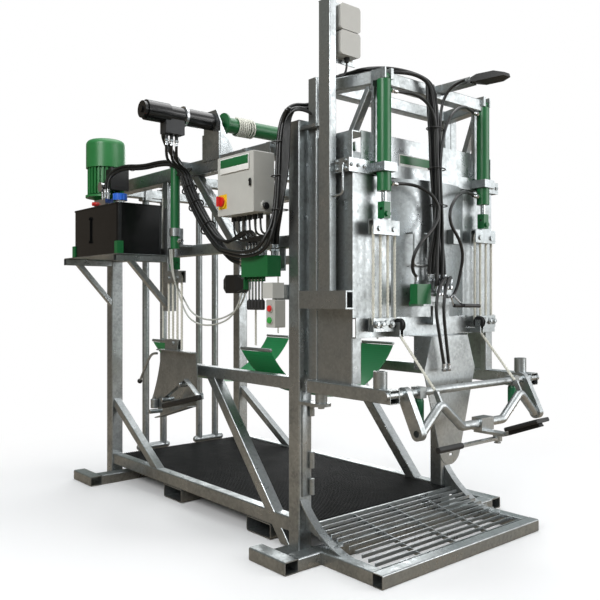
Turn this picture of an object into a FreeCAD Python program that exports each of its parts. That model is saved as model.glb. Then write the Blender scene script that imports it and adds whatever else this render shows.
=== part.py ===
import FreeCAD, Part
import math
import os

V = FreeCAD.Vector
os.makedirs("parts", exist_ok=True)

# Hoof trimming chute. Millimetres, +Z up, ground at Z 0.
# +X points out over the entry ramp, -X towards the head gate, -Y is the operator's side.
# The model is laid out from the ground midway between the two front posts. Its pieces are then
# moved so that the origin lies on the ground in the middle of the front skid's underside.

# Driving dimensions of the fixed frame
side_gap = 1050.0            # between the post centres of the two sides
frame_length = 1945.0        # between the front and rear post centres
post_size = 80.0
post_wall = 5.0
front_post_top = 2030.0
beam_top = 1970.0            # top of the two long roof beams
base_plate_thick = 8.0
rail_size = 70.0             # floor rails
rail_width = 60.0
floor_top = 150.0            # top of the floor rails
mid_rail_size = 60.0
mid_rail_z = 790.0           # centre height of the side rails
light_tube = 60.0            # square tube of braces, arms and gate rails
light_wall = 4.0
upper_rail_z = 1470.0
foot_outreach = 247.0        # outer side of the feet past the post centre line
foot_width = 80.0
foot_height = 60.0
foot_length = 258.0
skid_offset = 176.0          # skid centre ahead of the post centre
fork_pocket_width = 200.0
fork_pocket_height = 76.0
fork_pocket_pitch = 840.0
fork_pocket_x = -290.0
mat_thick = 12.0
ramp_reach = 590.0           # outer edge of the ramp from the front post centres
ramp_tube = 60.0
slat_count = 12
slat_thick = 6.0
slat_height = 16.0
clearance = 0.3              # seat gap between pieces on different bodies
running_gap = 0.05           # radial gap of pins and shafts in their bores

# Driving dimensions of the swinging rear gate unit
gate_pivot_x = 150.0
gate_pin_r = 15.0
gate_rail_end = 603.0
gate_wall_x = 351.0          # outer face of the rear wall sheets
sheet_thick = 4.0
sheet_top = 1935.0
mast_post_top = 2225.0
mast_top = 2530.0
cylinder_x = 400.0           # axis of the two rear lift cylinders
cylinder_y = 372.0           # each side of the middle
barrel_r = 32.0
rod_r = 13.0
lift_stroke = 300.0
rope_r = 7.0
leg_bar_x = 662.0
leg_bar_z = 635.0
leg_bar_r = 20.0
pivot_bar_x = 585.0
pivot_bar_z = 792.0
pivot_bar_r = 17.0
leg_arm_y = 445.0

# Driving dimensions of the power unit, winch and controls
tank_x0 = -1800.0
tank_x1 = -1190.0
tank_depth = 290.0
tank_bottom = 1455.0
tank_top = 1740.0
motor_r = 112.0
motor_x = -1650.0
winch_x = -700.0
winch_z = 2160.0
drum_r = 42.0
box_size = 300.0             # control enclosure, width and height
box_depth = 124.0

near_y = -side_gap / 2
far_y = side_gap / 2
front_x = 0.0
rear_x = -frame_length
half_post = post_size / 2
near_out = near_y - half_post
far_out = far_y + half_post
X = V(1, 0, 0)
Y = V(0, 1, 0)
Z = V(0, 0, 1)


def box(x0, x1, y0, y1, z0, z1):
    """A plain block between its low and high corners."""
    return Part.makeBox(x1 - x0, y1 - y0, z1 - z0, V(x0, y0, z0))


def rod(start, end, radius):
    """A solid round bar between two points."""
    return Part.makeCylinder(radius, (end - start).Length, start, end - start)


def pipe(start, end, radius, bore):
    """A round tube between two points."""
    return rod(start, end, radius).cut(rod(start, end, bore))


def rounded_wire(width, height, radius):
    """A rectangle about the origin in the XY plane, with round corners."""
    r = radius
    s = r * (1 - math.sqrt(0.5))
    edges = []
    for i in range(4):
        # each quarter is the right side and its upper corner, in its own turned axes
        if i % 2:
            a, b = height / 2, width / 2
        else:
            a, b = width / 2, height / 2
        turn = FreeCAD.Rotation(Z, 90 * i)
        low = turn.multVec(V(a, r - b, 0))
        high = turn.multVec(V(a, b - r, 0))
        mid = turn.multVec(V(a - s, b - s, 0))
        end = turn.multVec(V(a - r, b, 0))
        edges.append(Part.LineSegment(low, high).toShape())
        edges.append(Part.Arc(high, mid, end).toShape())
    return Part.Wire(edges)


def aim(shape, start, direction, side):
    """Turn a shape built along +Z so it points along direction, its X axis near side."""
    d = V(direction).normalize()
    y_axis = d.cross(side).normalize()
    x_axis = y_axis.cross(d)
    turn = FreeCAD.Matrix(x_axis.x, y_axis.x, d.x, start.x,
                          x_axis.y, y_axis.y, d.y, start.y,
                          x_axis.z, y_axis.z, d.z, start.z,
                          0, 0, 0, 1)
    placed = shape.copy()
    placed.Placement = FreeCAD.Placement(turn)
    return placed


def tube(start, end, width, height, wall, side=None, corner=None):
    """A rectangular tube with open ends; side is the direction of its width."""
    direction = end - start
    if side is None:
        side = X if abs(V(direction).normalize().x) < 0.9 else Y
    corner = wall * 1.5 if corner is None else corner
    body = Part.Face(rounded_wire(width, height, corner)).extrude(V(0, 0, direction.Length))
    if wall < min(width, height) / 2:
        body = body.cut(Part.makeBox(width - 2 * wall, height - 2 * wall, direction.Length,
                                     V(wall - width / 2, wall - height / 2, 0)))
    return aim(body, start, direction, side)


def slab(points, normal, thick):
    """A flat plate: its outline's points, pushed along normal by thick."""
    wire = Part.makePolygon(points + [points[0]])
    return Part.Face(wire).extrude(V(normal) * thick)


def bent_rod(points, radius, bend):
    """A round bar through points, with an arc of radius bend at each inner one."""
    edges = []
    start = points[0]
    for i in range(1, len(points) - 1):
        a = (points[i - 1] - points[i]).normalize()
        b = (points[i + 1] - points[i]).normalize()
        half = a.getAngle(b) / 2
        back = bend / math.tan(half)
        p = points[i] + a * back
        q = points[i] + b * back
        bisector = (a + b).normalize()
        mid = points[i] + bisector * (bend / math.sin(half) - bend)
        edges.append(Part.LineSegment(start, p).toShape())
        edges.append(Part.Arc(p, mid, q).toShape())
        start = q
    edges.append(Part.LineSegment(start, points[-1]).toShape())
    spine = Part.Wire(edges)
    ring = Part.Wire(Part.makeCircle(radius, points[0], points[1] - points[0]))
    return spine.makePipeShell([ring], True, True)


cord_report = []


def cord(name, points, radius):
    """A hose or cable: straight runs joined by tangent arcs as large as the runs allow."""
    edges = []
    start = points[0]
    radii = []
    for i in range(1, len(points) - 1):
        to_last = points[i - 1] - points[i]
        to_next = points[i + 1] - points[i]
        back = 0.45 * min(to_last.Length, to_next.Length)
        a = to_last.normalize()
        b = to_next.normalize()
        half = a.getAngle(b) / 2
        bend = back * math.tan(half)
        radii.append(bend)
        p = points[i] + a * back
        q = points[i] + b * back
        mid = points[i] + (a + b).normalize() * (bend / math.sin(half) - bend)
        edges.append(Part.LineSegment(start, p).toShape())
        edges.append(Part.Arc(p, mid, q).toShape())
        start = q
    edges.append(Part.LineSegment(start, points[-1]).toShape())
    spine = Part.Wire(edges)
    ring = Part.Wire(Part.makeCircle(radius, points[0], points[1] - points[0]))
    solid = spine.makePipeShell([ring], True, False)
    ideal = math.pi * radius * radius * spine.Length
    cord_report.append((name, spine.Length, min(radii) if radii else 0, solid.Volume / ideal))
    return solid


def mirror_y(shape):
    """The same shape on the other side of the machine."""
    return shape.mirror(V(0, 0, 0), V(0, 1, 0))


nodes = {}


def add(name, *shapes):
    """Put shapes into a node; each stays a separate solid of that node."""
    for shape in shapes:
        nodes.setdefault(name, []).extend(shape.Solids)


# Fixed frame: posts, feet and skids
posts = []
for x, top in ((front_x, front_post_top), (rear_x, beam_top)):
    for y in (near_y, far_y):
        posts.append(tube(V(x, y, base_plate_thick), V(x, y, top), post_size, post_size, post_wall))
add("posts", *posts)

caps = []
for y in (near_y, far_y):
    caps.append(box(-half_post, half_post, y - half_post, y + half_post,
                    front_post_top, front_post_top + 4))
    caps.append(box(rear_x - half_post, rear_x + half_post, y - half_post, y + half_post,
                    beam_top, beam_top + 4))
add("posts", *caps)

# Base plates carry the posts and lie on the ground beside the skids
foot_y = far_y + foot_outreach + half_post - foot_width / 2 - 15
base_plates = []
feet = []
skids = []
for post_x in (front_x, rear_x):
    skid_x = post_x + skid_offset
    skid_low = skid_x - foot_width / 2
    for side in (-1, 1):
        y_in = side * (far_y - half_post - 20)
        y_out = side * (foot_y - foot_width / 2)
        low, high = sorted((y_in, y_out))
        base_plates.append(box(post_x - 70, skid_low, low, high, 0, base_plate_thick))
        x0 = post_x + skid_offset - foot_length + foot_width / 2
        feet.append(tube(V(x0, side * foot_y, foot_height / 2),
                         V(x0 + foot_length, side * foot_y, foot_height / 2),
                         foot_width, foot_height, post_wall, Y))
    skids.append(tube(V(skid_x, foot_width / 2 - foot_y, foot_height / 2),
                      V(skid_x, foot_y - foot_width / 2, foot_height / 2),
                      foot_width, foot_height, post_wall, X))
add("ground_frame", *base_plates)
add("ground_frame", *feet)
add("ground_frame", *skids)

# Floor: long rails between the posts, cross members, fork pockets, plate and rubber mat
floor_bottom = floor_top - rail_size
rail_mid = floor_top - rail_size / 2
# The big brace of each side runs through its floor rail to the base plate
brace_foot = V(-79, 0, base_plate_thick)
brace_head = V(-725, 0, mid_rail_z - mid_rail_size / 2)


def across(point, y):
    """The same point in the plane of one side of the frame."""
    return V(point.x, y, point.z)


rails = []
big_braces = []
small_braces = []
for y in (near_y, far_y):
    slope = (brace_foot - brace_head).normalize()
    low = across(brace_foot, y) + slope * 60
    high = across(brace_head, y) - slope * 60
    trim = box(brace_head.x - 90, -half_post, y - 40, y + 40, base_plate_thick,
               mid_rail_z - mid_rail_size / 2)
    big = tube(high, low, light_tube, light_tube, light_wall, Y).common(trim)
    big_core = tube(high, low, light_tube, light_tube, light_tube, Y, 6)
    big_braces.append(big)
    rail = tube(V(rear_x + half_post, y, rail_mid), V(-half_post, y, rail_mid),
                rail_width, rail_size, post_wall, Y)
    rails.append(rail.cut(big_core))
    small = tube(V(rear_x + half_post - 60, y, 530), V(-1300, y, 110), 50, 50, light_wall, Y)
    small_braces.append(small.common(box(rear_x + half_post, -1200, y - 40, y + 40,
                                         floor_top, 700)))
add("floor_frame", *rails)
add("side_frames", *big_braces)
add("side_frames", *small_braces)

pockets = []
for i in range(2):
    x = fork_pocket_x - i * fork_pocket_pitch
    pocket_z = floor_bottom - fork_pocket_height / 2
    pockets.append(tube(V(x, near_y - rail_width / 2, pocket_z),
                        V(x, far_y + rail_width / 2, pocket_z),
                        fork_pocket_width, fork_pocket_height, post_wall, X, 12))
add("fork_pockets", *pockets)

cross_bottom = floor_bottom + 4
cross_members = []
inner = far_y - rail_width / 2
for x in (-1420.0, -720.0):
    cross_members.append(tube(V(x, -inner, cross_bottom + 20), V(x, inner, cross_bottom + 20),
                              60, 40, light_wall, X))
for x in (rear_x + half_post + 40, -half_post - 40):
    cross_members.append(tube(V(x, -inner, cross_bottom + 20), V(x, inner, cross_bottom + 20),
                              60, 40, light_wall, X))
add("floor_frame", *cross_members)
plate_bottom = cross_bottom + 40
floor_x0 = rear_x + half_post
floor_x1 = half_post + 20
plate_outline = [V(floor_x0, -inner, plate_bottom), V(floor_x0, inner, plate_bottom),
                 V(-half_post, inner, plate_bottom), V(-half_post, inner - 10, plate_bottom),
                 V(floor_x1, inner - 10, plate_bottom), V(floor_x1, 10 - inner, plate_bottom),
                 V(-half_post, 10 - inner, plate_bottom), V(-half_post, -inner, plate_bottom)]
add("floor_frame", slab(plate_outline, Z, 6))
mat_bottom = plate_bottom + 6
mat_outline = [V(p.x, p.y, mat_bottom) for p in plate_outline]
add("floor_mat", slab(mat_outline, Z, mat_thick))


# Side rails above the floor; on each side one ends at the front leg board's stub
mid_z = mid_rail_z
board_x1 = -905.0
stub_reach = 100.0
mid_rails = []
board_stubs = []
upper_rails = []
hangers = []
roof_beams = []
roof_braces = []
beam_z = beam_top - post_size / 2
hanger_x = -1215.0
for sign in (-1, 1):
    y = sign * far_y
    mid_rails.append(tube(V(board_x1, y, mid_z), V(-half_post, y, mid_z),
                          mid_rail_size, mid_rail_size, light_wall, Y))
    stub_y0 = y - sign * mid_rail_size / 2
    stub_y1 = y + sign * (mid_rail_size / 2 + stub_reach)
    board_stubs.append(tube(V(board_x1 - mid_rail_size / 2, stub_y0, mid_z),
                            V(board_x1 - mid_rail_size / 2, stub_y1, mid_z),
                            mid_rail_size, mid_rail_size, light_wall, X))
    hangers.append(tube(V(hanger_x, y, 1120), V(hanger_x, y, beam_top - post_size),
                        light_tube, light_tube, light_wall, X))
    spans = ((rear_x + half_post, hanger_x - light_tube / 2), (hanger_x + light_tube / 2, -half_post))
    for x0, x1 in spans:
        upper_rails.append(tube(V(x0, y, upper_rail_z), V(x1, y, upper_rail_z),
                                mid_rail_size, mid_rail_size, light_wall, Y))
    roof_beams.append(tube(V(rear_x + half_post, y, beam_z), V(-half_post, y, beam_z),
                           post_size, post_size, post_wall, Y))
    brace = tube(V(-960, y, beam_top - 10), V(-470, y, upper_rail_z - 40), 50, 50, light_wall, Y)
    roof_braces.append(brace.common(box(-1100, -300, y - 40, y + 40,
                                        upper_rail_z + mid_rail_size / 2, beam_top - post_size)))
add("side_frames", *mid_rails)
add("side_frames", *board_stubs)
add("side_frames", *upper_rails)
add("side_frames", *hangers)
add("roof_frame", *roof_beams)
add("side_frames", *roof_braces)

# Cross beams between the two roof beams, with the head gate's track at the rear posts
half_in = far_y - half_post
cross_beams = []
for x in (-110.0, winch_x - 90, -1330.0):
    cross_beams.append(tube(V(x, -half_in, beam_top - 30), V(x, half_in, beam_top - 30),
                            light_tube, light_tube, light_wall, X))
add("roof_frame", *cross_beams)
track_z = beam_top - 45
track = tube(V(rear_x, -half_in, track_z), V(rear_x, half_in, track_z), 70, 60, light_wall, X)
add("roof_frame", track)

# Head gate: two halves hang on the track and slide apart
gate_tube_r = 24.0
gate_foot_z = 155.0
half_inner = 150.0
half_outer = 290.0
hanger_top = track_z + 30 + 6
for name, sign in (("near", -1), ("far", 1)):
    foot = rod(V(rear_x, sign * (half_inner - 25), gate_foot_z),
               V(rear_x, sign * (half_outer + 45), gate_foot_z), gate_tube_r)
    for y in (half_inner - 25, half_outer + 45):
        foot = foot.fuse(Part.makeSphere(gate_tube_r, V(rear_x, sign * y, gate_foot_z)))
    frame_half = foot
    for y in (half_inner, half_outer):
        frame_half = frame_half.fuse(rod(V(rear_x, sign * y, gate_foot_z),
                                         V(rear_x, sign * y, track_z - 31 - 14), gate_tube_r))
    head = box(rear_x - 30, rear_x + 30, min(sign * (half_inner - 40), sign * (half_outer + 40)),
               max(sign * (half_inner - 40), sign * (half_outer + 40)), track_z - 30 - 15, track_z - 31)
    frame_half = frame_half.fuse(head)
    for y in (half_inner, half_outer):
        for dx in (-1, 1):
            x0 = rear_x + dx * 39 - (0 if dx > 0 else 6)
            ear = box(x0, x0 + 6, sign * y - 25, sign * y + 25, track_z - 45, hanger_top + 14)
            frame_half = frame_half.fuse(ear)
        link = box(rear_x - 45, rear_x + 45, sign * y - 25, sign * y + 25, track_z - 45, track_z - 31)
        frame_half = frame_half.fuse(link)
    add("head_gate_" + name, frame_half.removeSplitter())
    rollers = []
    for y in (half_inner, half_outer):
        rollers.append(rod(V(rear_x - 38.5, sign * y, track_z + 30 + 12.3),
                           V(rear_x + 38.5, sign * y, track_z + 30 + 12.3), 12))
    add("head_gate_" + name, *rollers)


# Entry ramp: curved cheeks from the front posts down to a square tube on the ground
ramp_low_z = ramp_tube / 2
ramp_x0 = floor_x1
cheek_thick = 10.0
cheek_in = far_y - cheek_thick  # inner faces of the cheeks
ramp_tube_x = ramp_reach - ramp_tube / 2
ramp_edge = tube(V(ramp_tube_x, -far_y - 60, ramp_low_z), V(ramp_tube_x, far_y + 60, ramp_low_z),
                 ramp_tube, ramp_tube, light_wall, X)
add("entry_ramp", ramp_edge)
side_tubes = []
for sign in (-1, 1):
    y = sign * (far_y + ramp_tube / 2)
    side_tubes.append(tube(V(skid_offset + foot_width / 2, y, ramp_low_z),
                           V(ramp_tube_x - ramp_tube / 2, y, ramp_low_z), ramp_tube, ramp_tube, light_wall, Y))
add("entry_ramp", *side_tubes)

cheek_top = 250.0
cheek_x0 = half_post + 1
cheek_x1 = ramp_tube_x - ramp_tube / 2
strip_wide = 45.0
strip_thick = 6.0
cheeks = []
for sign in (-1, 1):
    y = sign * (cheek_in + cheek_thick / 2) - cheek_thick / 2
    # the upper edge falls steeply from the post and runs out level with the edge tube
    top = Part.Arc(V(cheek_x0, y, cheek_top), V(cheek_x0 + 150, y, 112), V(cheek_x1, y, 56)).toShape()
    low = Part.Arc(V(cheek_x1, y, 4), V(cheek_x0 + 259, y, 45), V(cheek_x0, y, 112)).toShape()
    wire = Part.Wire([top, Part.LineSegment(V(cheek_x1, y, 56), V(cheek_x1, y, 4)).toShape(),
                      low, Part.LineSegment(V(cheek_x0, y, 112), V(cheek_x0, y, cheek_top)).toShape()])
    cheek = Part.Face(wire).extrude(V(0, cheek_thick, 0))
    # a strip along the upper edge, as wide as the post's outer half
    bend = top.Curve
    y0 = y if sign > 0 else y + cheek_thick - strip_wide
    ring = rod(V(bend.Center.x, y0, bend.Center.z), V(bend.Center.x, y0 + strip_wide, bend.Center.z),
               bend.Radius + strip_thick)
    ring = ring.cut(rod(V(bend.Center.x, y0 - 1, bend.Center.z),
                        V(bend.Center.x, y0 + strip_wide + 1, bend.Center.z), bend.Radius))
    strip = ring.common(box(cheek_x0, cheek_x1, y0, y0 + strip_wide, ramp_tube, cheek_top))
    cheeks.append(cheek.fuse(strip).removeSplitter())
add("entry_ramp", *cheeks)

slat_x0 = ramp_x0 + 26
slat_x1 = cheek_x1 - 6
slat_y = cheek_in
divider_y = (-250.0, 0.0, 250.0)


def slat_z(x):
    """Top of the grating at x: it falls from the floor's edge to the edge tube."""
    t = (x - slat_x0) / (cheek_x1 - slat_x0)
    return floor_top - 8 - t * (floor_top - 8 - ramp_tube + 4)


bars = []
for i in range(slat_count):
    x = slat_x0 + i * (slat_x1 - slat_thick - slat_x0) / (slat_count - 1)
    top = slat_z(x)
    bars.append(box(x, x + slat_thick, -slat_y, slat_y, top - slat_height, top))
divider_h = 20
for y in divider_y:
    points = [V(slat_x0, y - 3, slat_z(slat_x0) - 6), V(cheek_x1, y - 3, slat_z(cheek_x1) - 6),
              V(cheek_x1, y - 3, slat_z(cheek_x1) - 6 - divider_h),
              V(slat_x0, y - 3, slat_z(slat_x0) - 6 - divider_h)]
    bars.append(slab(points, Y, 6))
grating = bars[0].fuse(bars[1:])
add("entry_ramp", grating)
ledge = box(floor_x1, slat_x0, -slat_y, slat_y, plate_bottom - 14, plate_bottom)
ledge = ledge.fuse(box(slat_x0 - 8, slat_x0, -slat_y, slat_y, plate_bottom, slat_z(slat_x0)))
add("entry_ramp", ledge)


# Lift tackles. Built about the cylinder's axis with the sheaves spread along X and facing -Y,
# then turned or mirrored into place.
sheave_r = 23.0
sheave_pitch = 47.0
sheave_wide = 18.0
cheek_gap = 22.0
plate6 = 6.0


def sheave(x, z):
    """A grooved wheel about a Y axis, its groove fitted to the rope."""
    half = sheave_wide / 2
    wheel = rod(V(x, -half, z), V(x, half, z), sheave_r - rope_r + 4)
    groove = Part.makeTorus(sheave_r, rope_r + 0.4, V(x, 0, z), Y)
    hole = rod(V(x, -half - 1, z), V(x, half + 1, z), 8 + running_gap)
    return wheel.cut(groove).cut(hole)


def tackle(top, radius, barrel_bottom, block_z, low_z, stroke, rope_end):
    """All pieces of one lift: barrel, rod, clevis, blocks, sheaves and rope falls."""
    bore = radius - 6
    cap = 18
    gland = 26
    barrel = rod(V(0, 0, barrel_bottom), V(0, 0, top), radius)
    barrel = barrel.cut(rod(V(0, 0, barrel_bottom + gland), V(0, 0, top - cap), bore))
    barrel = barrel.cut(rod(V(0, 0, barrel_bottom - 1), V(0, 0, barrel_bottom + gland + 1),
                            rod_r + running_gap))
    eye = rod(V(-16, 0, top + 14), V(16, 0, top + 14), 20)
    barrel = barrel.fuse(eye).fuse(box(-16, 16, -14, 14, top - 2, top + 14))
    barrel = barrel.cut(rod(V(-30, 0, top + 14), V(30, 0, top + 14), 9 + running_gap))
    for z in (top - cap - 20, barrel_bottom + gland + 14):
        port = rod(V(bore + 1, 0, z), V(radius + 14, 0, z), 9)
        barrel = barrel.fuse(port).cut(rod(V(bore - 1, 0, z), V(radius + 15, 0, z), 4))
    clevis_top = barrel_bottom - 48
    piston_z = top - cap - 34
    piston = rod(V(0, 0, piston_z), V(0, 0, piston_z + 30), bore - running_gap)
    shaft = rod(V(0, 0, clevis_top - 20), V(0, 0, piston_z), rod_r)
    # green clevis: a block over two legs that hold the block's tongue
    leg_low = block_z + 48
    clevis = box(-20, 20, -20, 20, clevis_top - 26, clevis_top)
    for side in (-1, 1):
        y0, y1 = sorted((side * 9, side * 20))
        clevis = clevis.fuse(box(-20, 20, y0, y1, leg_low, clevis_top - 20))
    clevis = clevis.cut(rod(V(0, 0, clevis_top - 20), V(0, 0, clevis_top + 1), rod_r + running_gap))
    clevis = clevis.cut(rod(V(0, -30, leg_low + 20), V(0, 30, leg_low + 20), 8))
    # upper block: tongue, two cheek plates and their pins
    cheeks_z0 = block_z - 26
    cheeks_z1 = block_z + 40
    tongue = box(-18, 18, -8.7, 8.7, cheeks_z1 - 6, leg_low + 38)
    tongue = tongue.cut(rod(V(0, -30, leg_low + 20), V(0, 30, leg_low + 20), 8))
    pin = rod(V(0, -24, leg_low + 20), V(0, 24, leg_low + 20), 8 - running_gap)
    pin = pin.fuse(rod(V(0, -30, leg_low + 20), V(0, -24, leg_low + 20), 13))
    half_u = sheave_pitch + sheave_r + 15
    upper = box(-half_u, half_u, -cheek_gap / 2, cheek_gap / 2, cheeks_z1 - 6, cheeks_z1)
    for side in (-1, 1):
        y0, y1 = sorted((side * cheek_gap / 2, side * (cheek_gap / 2 + plate6)))
        upper = upper.fuse(box(-half_u, half_u, y0, y1, cheeks_z0, cheeks_z1))
    upper = upper.cut(box(-20, 20, -9, 9, cheeks_z1 - 7, cheeks_z1 + 1))
    upper = upper.fuse(tongue)
    wheels = []
    axles = []
    for u in (-sheave_pitch, sheave_pitch):
        for y in (-40, 40):
            upper = upper.cut(rod(V(u, 0, block_z), V(u, y, block_z), 8 + running_gap))
        wheels.append(sheave(u, block_z))
        axle = rod(V(u, -cheek_gap / 2 - plate6, block_z), V(u, cheek_gap / 2 + plate6, block_z), 8)
        axles.append(axle.fuse(rod(V(u, -cheek_gap / 2 - plate6 - 7, block_z),
                                   V(u, -cheek_gap / 2 - plate6, block_z), 12)))
    # lower block: one sheave between the falls, the becket on one side, the roller on the other
    lower = None
    for side in (-1, 1):
        y0, y1 = sorted((side * cheek_gap / 2, side * (cheek_gap / 2 + plate6)))
        cheek = box(-half_u, half_u - 35, y0, y1, low_z - 40, low_z + 20)
        cheek = cheek.cut(rod(V(0, y0 - 1, low_z), V(0, y1 + 1, low_z), 8 + running_gap))
        lower = cheek if lower is None else lower.fuse(cheek)
    lower = lower.fuse(box(-half_u, half_u - 40, -cheek_gap / 2, cheek_gap / 2, low_z - 40, low_z - 34))
    becket_x = -sheave_pitch - sheave_r
    lower = lower.fuse(box(becket_x - 9, becket_x + 9, -cheek_gap / 2, cheek_gap / 2,
                           low_z - 34, low_z - 10))
    low_wheel = sheave(0, low_z)
    low_axle = rod(V(0, -cheek_gap / 2 - plate6, low_z), V(0, cheek_gap / 2 + plate6, low_z), 8)
    low_axle = low_axle.fuse(rod(V(0, -cheek_gap / 2 - plate6 - 7, low_z),
                                 V(0, -cheek_gap / 2 - plate6, low_z), 12))
    # rope: up from the becket, over, under and over the sheaves, then down to the guide
    outer = sheave_pitch + sheave_r
    inner_fall = sheave_pitch - sheave_r
    edges = [
        Part.LineSegment(V(-outer, 0, low_z - 10), V(-outer, 0, block_z)),
        Part.Arc(V(-outer, 0, block_z), V(-sheave_pitch, 0, block_z + sheave_r), V(-inner_fall, 0, block_z)),
        Part.LineSegment(V(-inner_fall, 0, block_z), V(-inner_fall, 0, low_z)),
        Part.Arc(V(-inner_fall, 0, low_z), V(0, 0, low_z - inner_fall), V(inner_fall, 0, low_z)),
        Part.LineSegment(V(inner_fall, 0, low_z), V(inner_fall, 0, block_z)),
        Part.Arc(V(inner_fall, 0, block_z), V(sheave_pitch, 0, block_z + sheave_r), V(outer, 0, block_z)),
        Part.LineSegment(V(outer, 0, block_z), V(outer, 0, rope_end))]
    spine = Part.Wire([e.toShape() for e in edges])
    ring = Part.Wire(Part.makeCircle(rope_r, V(-outer, 0, low_z - 10), Z))
    rope = spine.makePipeShell([ring], True, False)
    return {"barrel": [barrel], "rod": [shaft.fuse(piston)], "clevis": [clevis, pin], "upper": [upper],
            "wheels": wheels, "axles": axles, "lower": [lower], "low_wheel": [low_wheel],
            "low_axle": [low_axle], "rope": [rope]}


def stand(shapes, x, y, turn, mirrored):
    """Move pieces built at the origin: mirror them left to right if asked, turn about Z, shift."""
    placed = []
    for shape in shapes:
        copy = shape.mirror(V(0, 0, 0), V(1, 0, 0)) if mirrored else shape.copy()
        copy.rotate(V(0, 0, 0), Z, turn)
        copy.translate(V(x, y, 0))
        placed.append(copy)
    return placed


# Sheaves stand above the lower block by the falls' length
front_lift_x = -930.0
front_lift_y = far_y + 130
front_top = 1930.0
front_bottom = 1475.0
front_block_z = 1310.0
front_low_z = 945.0
rear_top = 2176.0
rear_bottom = 1677.0
rear_block_z = 1506.0
rear_low_z = 1088.0
front_r = 26.0
band_thick = 6.0


def add_lift(name, end, parts, x, y, turn, mirrored):
    """Share one lift's pieces among its nodes."""
    def placed(*keys):
        shapes = []
        for key in keys:
            shapes.extend(parts[key])
        return stand(shapes, x, y, turn, mirrored)
    add(end + "_lift_cylinders", *placed("barrel"))
    add(name + "_lift", *placed("rod", "clevis", "upper", "wheels", "axles"))
    add(end + "_lift_mounts", *placed("lower", "low_wheel", "low_axle"))
    add(name + "_rope", *placed("rope"))


front_lift = tackle(front_top, front_r, front_bottom, front_block_z, front_low_z, lift_stroke,
                    front_low_z - 35)
rear_lift = tackle(rear_top, barrel_r, rear_bottom, rear_block_z, rear_low_z, lift_stroke,
                   rear_low_z - 12)
add_lift("near_front", "front", front_lift, front_lift_x, -front_lift_y, 0, False)
add_lift("far_front", "front", front_lift, front_lift_x, front_lift_y, 180, True)
add_lift("near_rear", "rear", rear_lift, cylinder_x, -cylinder_y, 90, False)
add_lift("far_rear", "rear", rear_lift, cylinder_x, cylinder_y, 90, True)

# Top brackets and clamps of the front cylinders
front_pin_z = front_top + 14
front_brackets = []
front_pins = []
front_clamps = []
for sign in (-1, 1):
    y_beam = sign * far_out
    y_pin = sign * front_lift_y
    for dx in (-1, 1):
        x0 = front_lift_x + dx * 16.3 - (0 if dx > 0 else 8)
        y0, y1 = sorted((y_beam, y_pin + sign * 22))
        ear = box(x0, x0 + 8, y0, y1, front_top + 0.5, front_pin_z + 22)
        ear = ear.cut(rod(V(x0 - 1, y_pin, front_pin_z), V(x0 + 9, y_pin, front_pin_z), 9))
        front_brackets.append(ear)
    pin = rod(V(front_lift_x - 26, y_pin, front_pin_z), V(front_lift_x + 26, y_pin, front_pin_z), 9 - running_gap)
    front_pins.append(pin.fuse(rod(V(front_lift_x - 34, y_pin, front_pin_z),
                                   V(front_lift_x - 26, y_pin, front_pin_z), 14)))
    # a band round the barrel on an arm from the upper side rail
    reach = y_pin - sign * (front_r + band_thick)
    y0, y1 = sorted((sign * (far_y + mid_rail_size / 2), reach))
    arm = box(front_lift_x - 20, front_lift_x + 20, y0, y1, 1488, 1500)
    y0, y1 = sorted((reach - sign * 8, y_pin))
    web = box(front_lift_x - 20, front_lift_x + 20, y0, y1, 1488, 1590)
    band = rod(V(front_lift_x, y_pin, 1545), V(front_lift_x, y_pin, 1590), front_r + band_thick)
    hole = rod(V(front_lift_x, y_pin, 1400), V(front_lift_x, y_pin, 1700), front_r + clearance)
    front_clamps.append(arm.fuse([web, band]).cut(hole))
add("front_lift_mounts", *front_brackets)
add("front_lift_mounts", *front_pins)
add("front_lift_mounts", *front_clamps)

# Front leg boards: a tapered plate on the stub's end, with a bracket for the lower block
board_y = far_y + mid_rail_size / 2 + stub_reach
board_thick = 6.0
board_rim = 40.0
board_top_x0 = -1075.0
board_top_x1 = -705.0
board_top_z = 905.0
board_foot_x = -1185.0
board_foot_z = 604.0
boards = []
for sign in (-1, 1):
    outline = [V(board_top_x0, 0, board_top_z), V(board_top_x1, 0, board_top_z),
               V(board_top_x1 + 15, 0, 720), V(board_top_x1, 0, 620), V(-1060, 0, 517),
               V(board_foot_x, 0, board_foot_z)]
    first = [Part.LineSegment(outline[i], outline[i + 1]).toShape() for i in range(5)]
    first.append(Part.Arc(outline[5], V(-1112, 0, 760), outline[0]).toShape())
    y0 = sign * board_y if sign > 0 else -board_y - board_thick
    plate = Part.Face(Part.Wire(first)).extrude(V(0, board_thick, 0))
    plate.translate(V(0, y0, 0))
    # a folded rim stiffens the plate's top edge and carries the lower block
    rim_y0, rim_y1 = sorted((sign * (board_y + board_thick), sign * (board_y + board_rim)))
    plate = plate.fuse(box(board_top_x0, board_top_x1, rim_y0, rim_y1, board_top_z - board_thick, board_top_z))
    boards.append(plate)
add("front_leg_boards", *boards)


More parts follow.
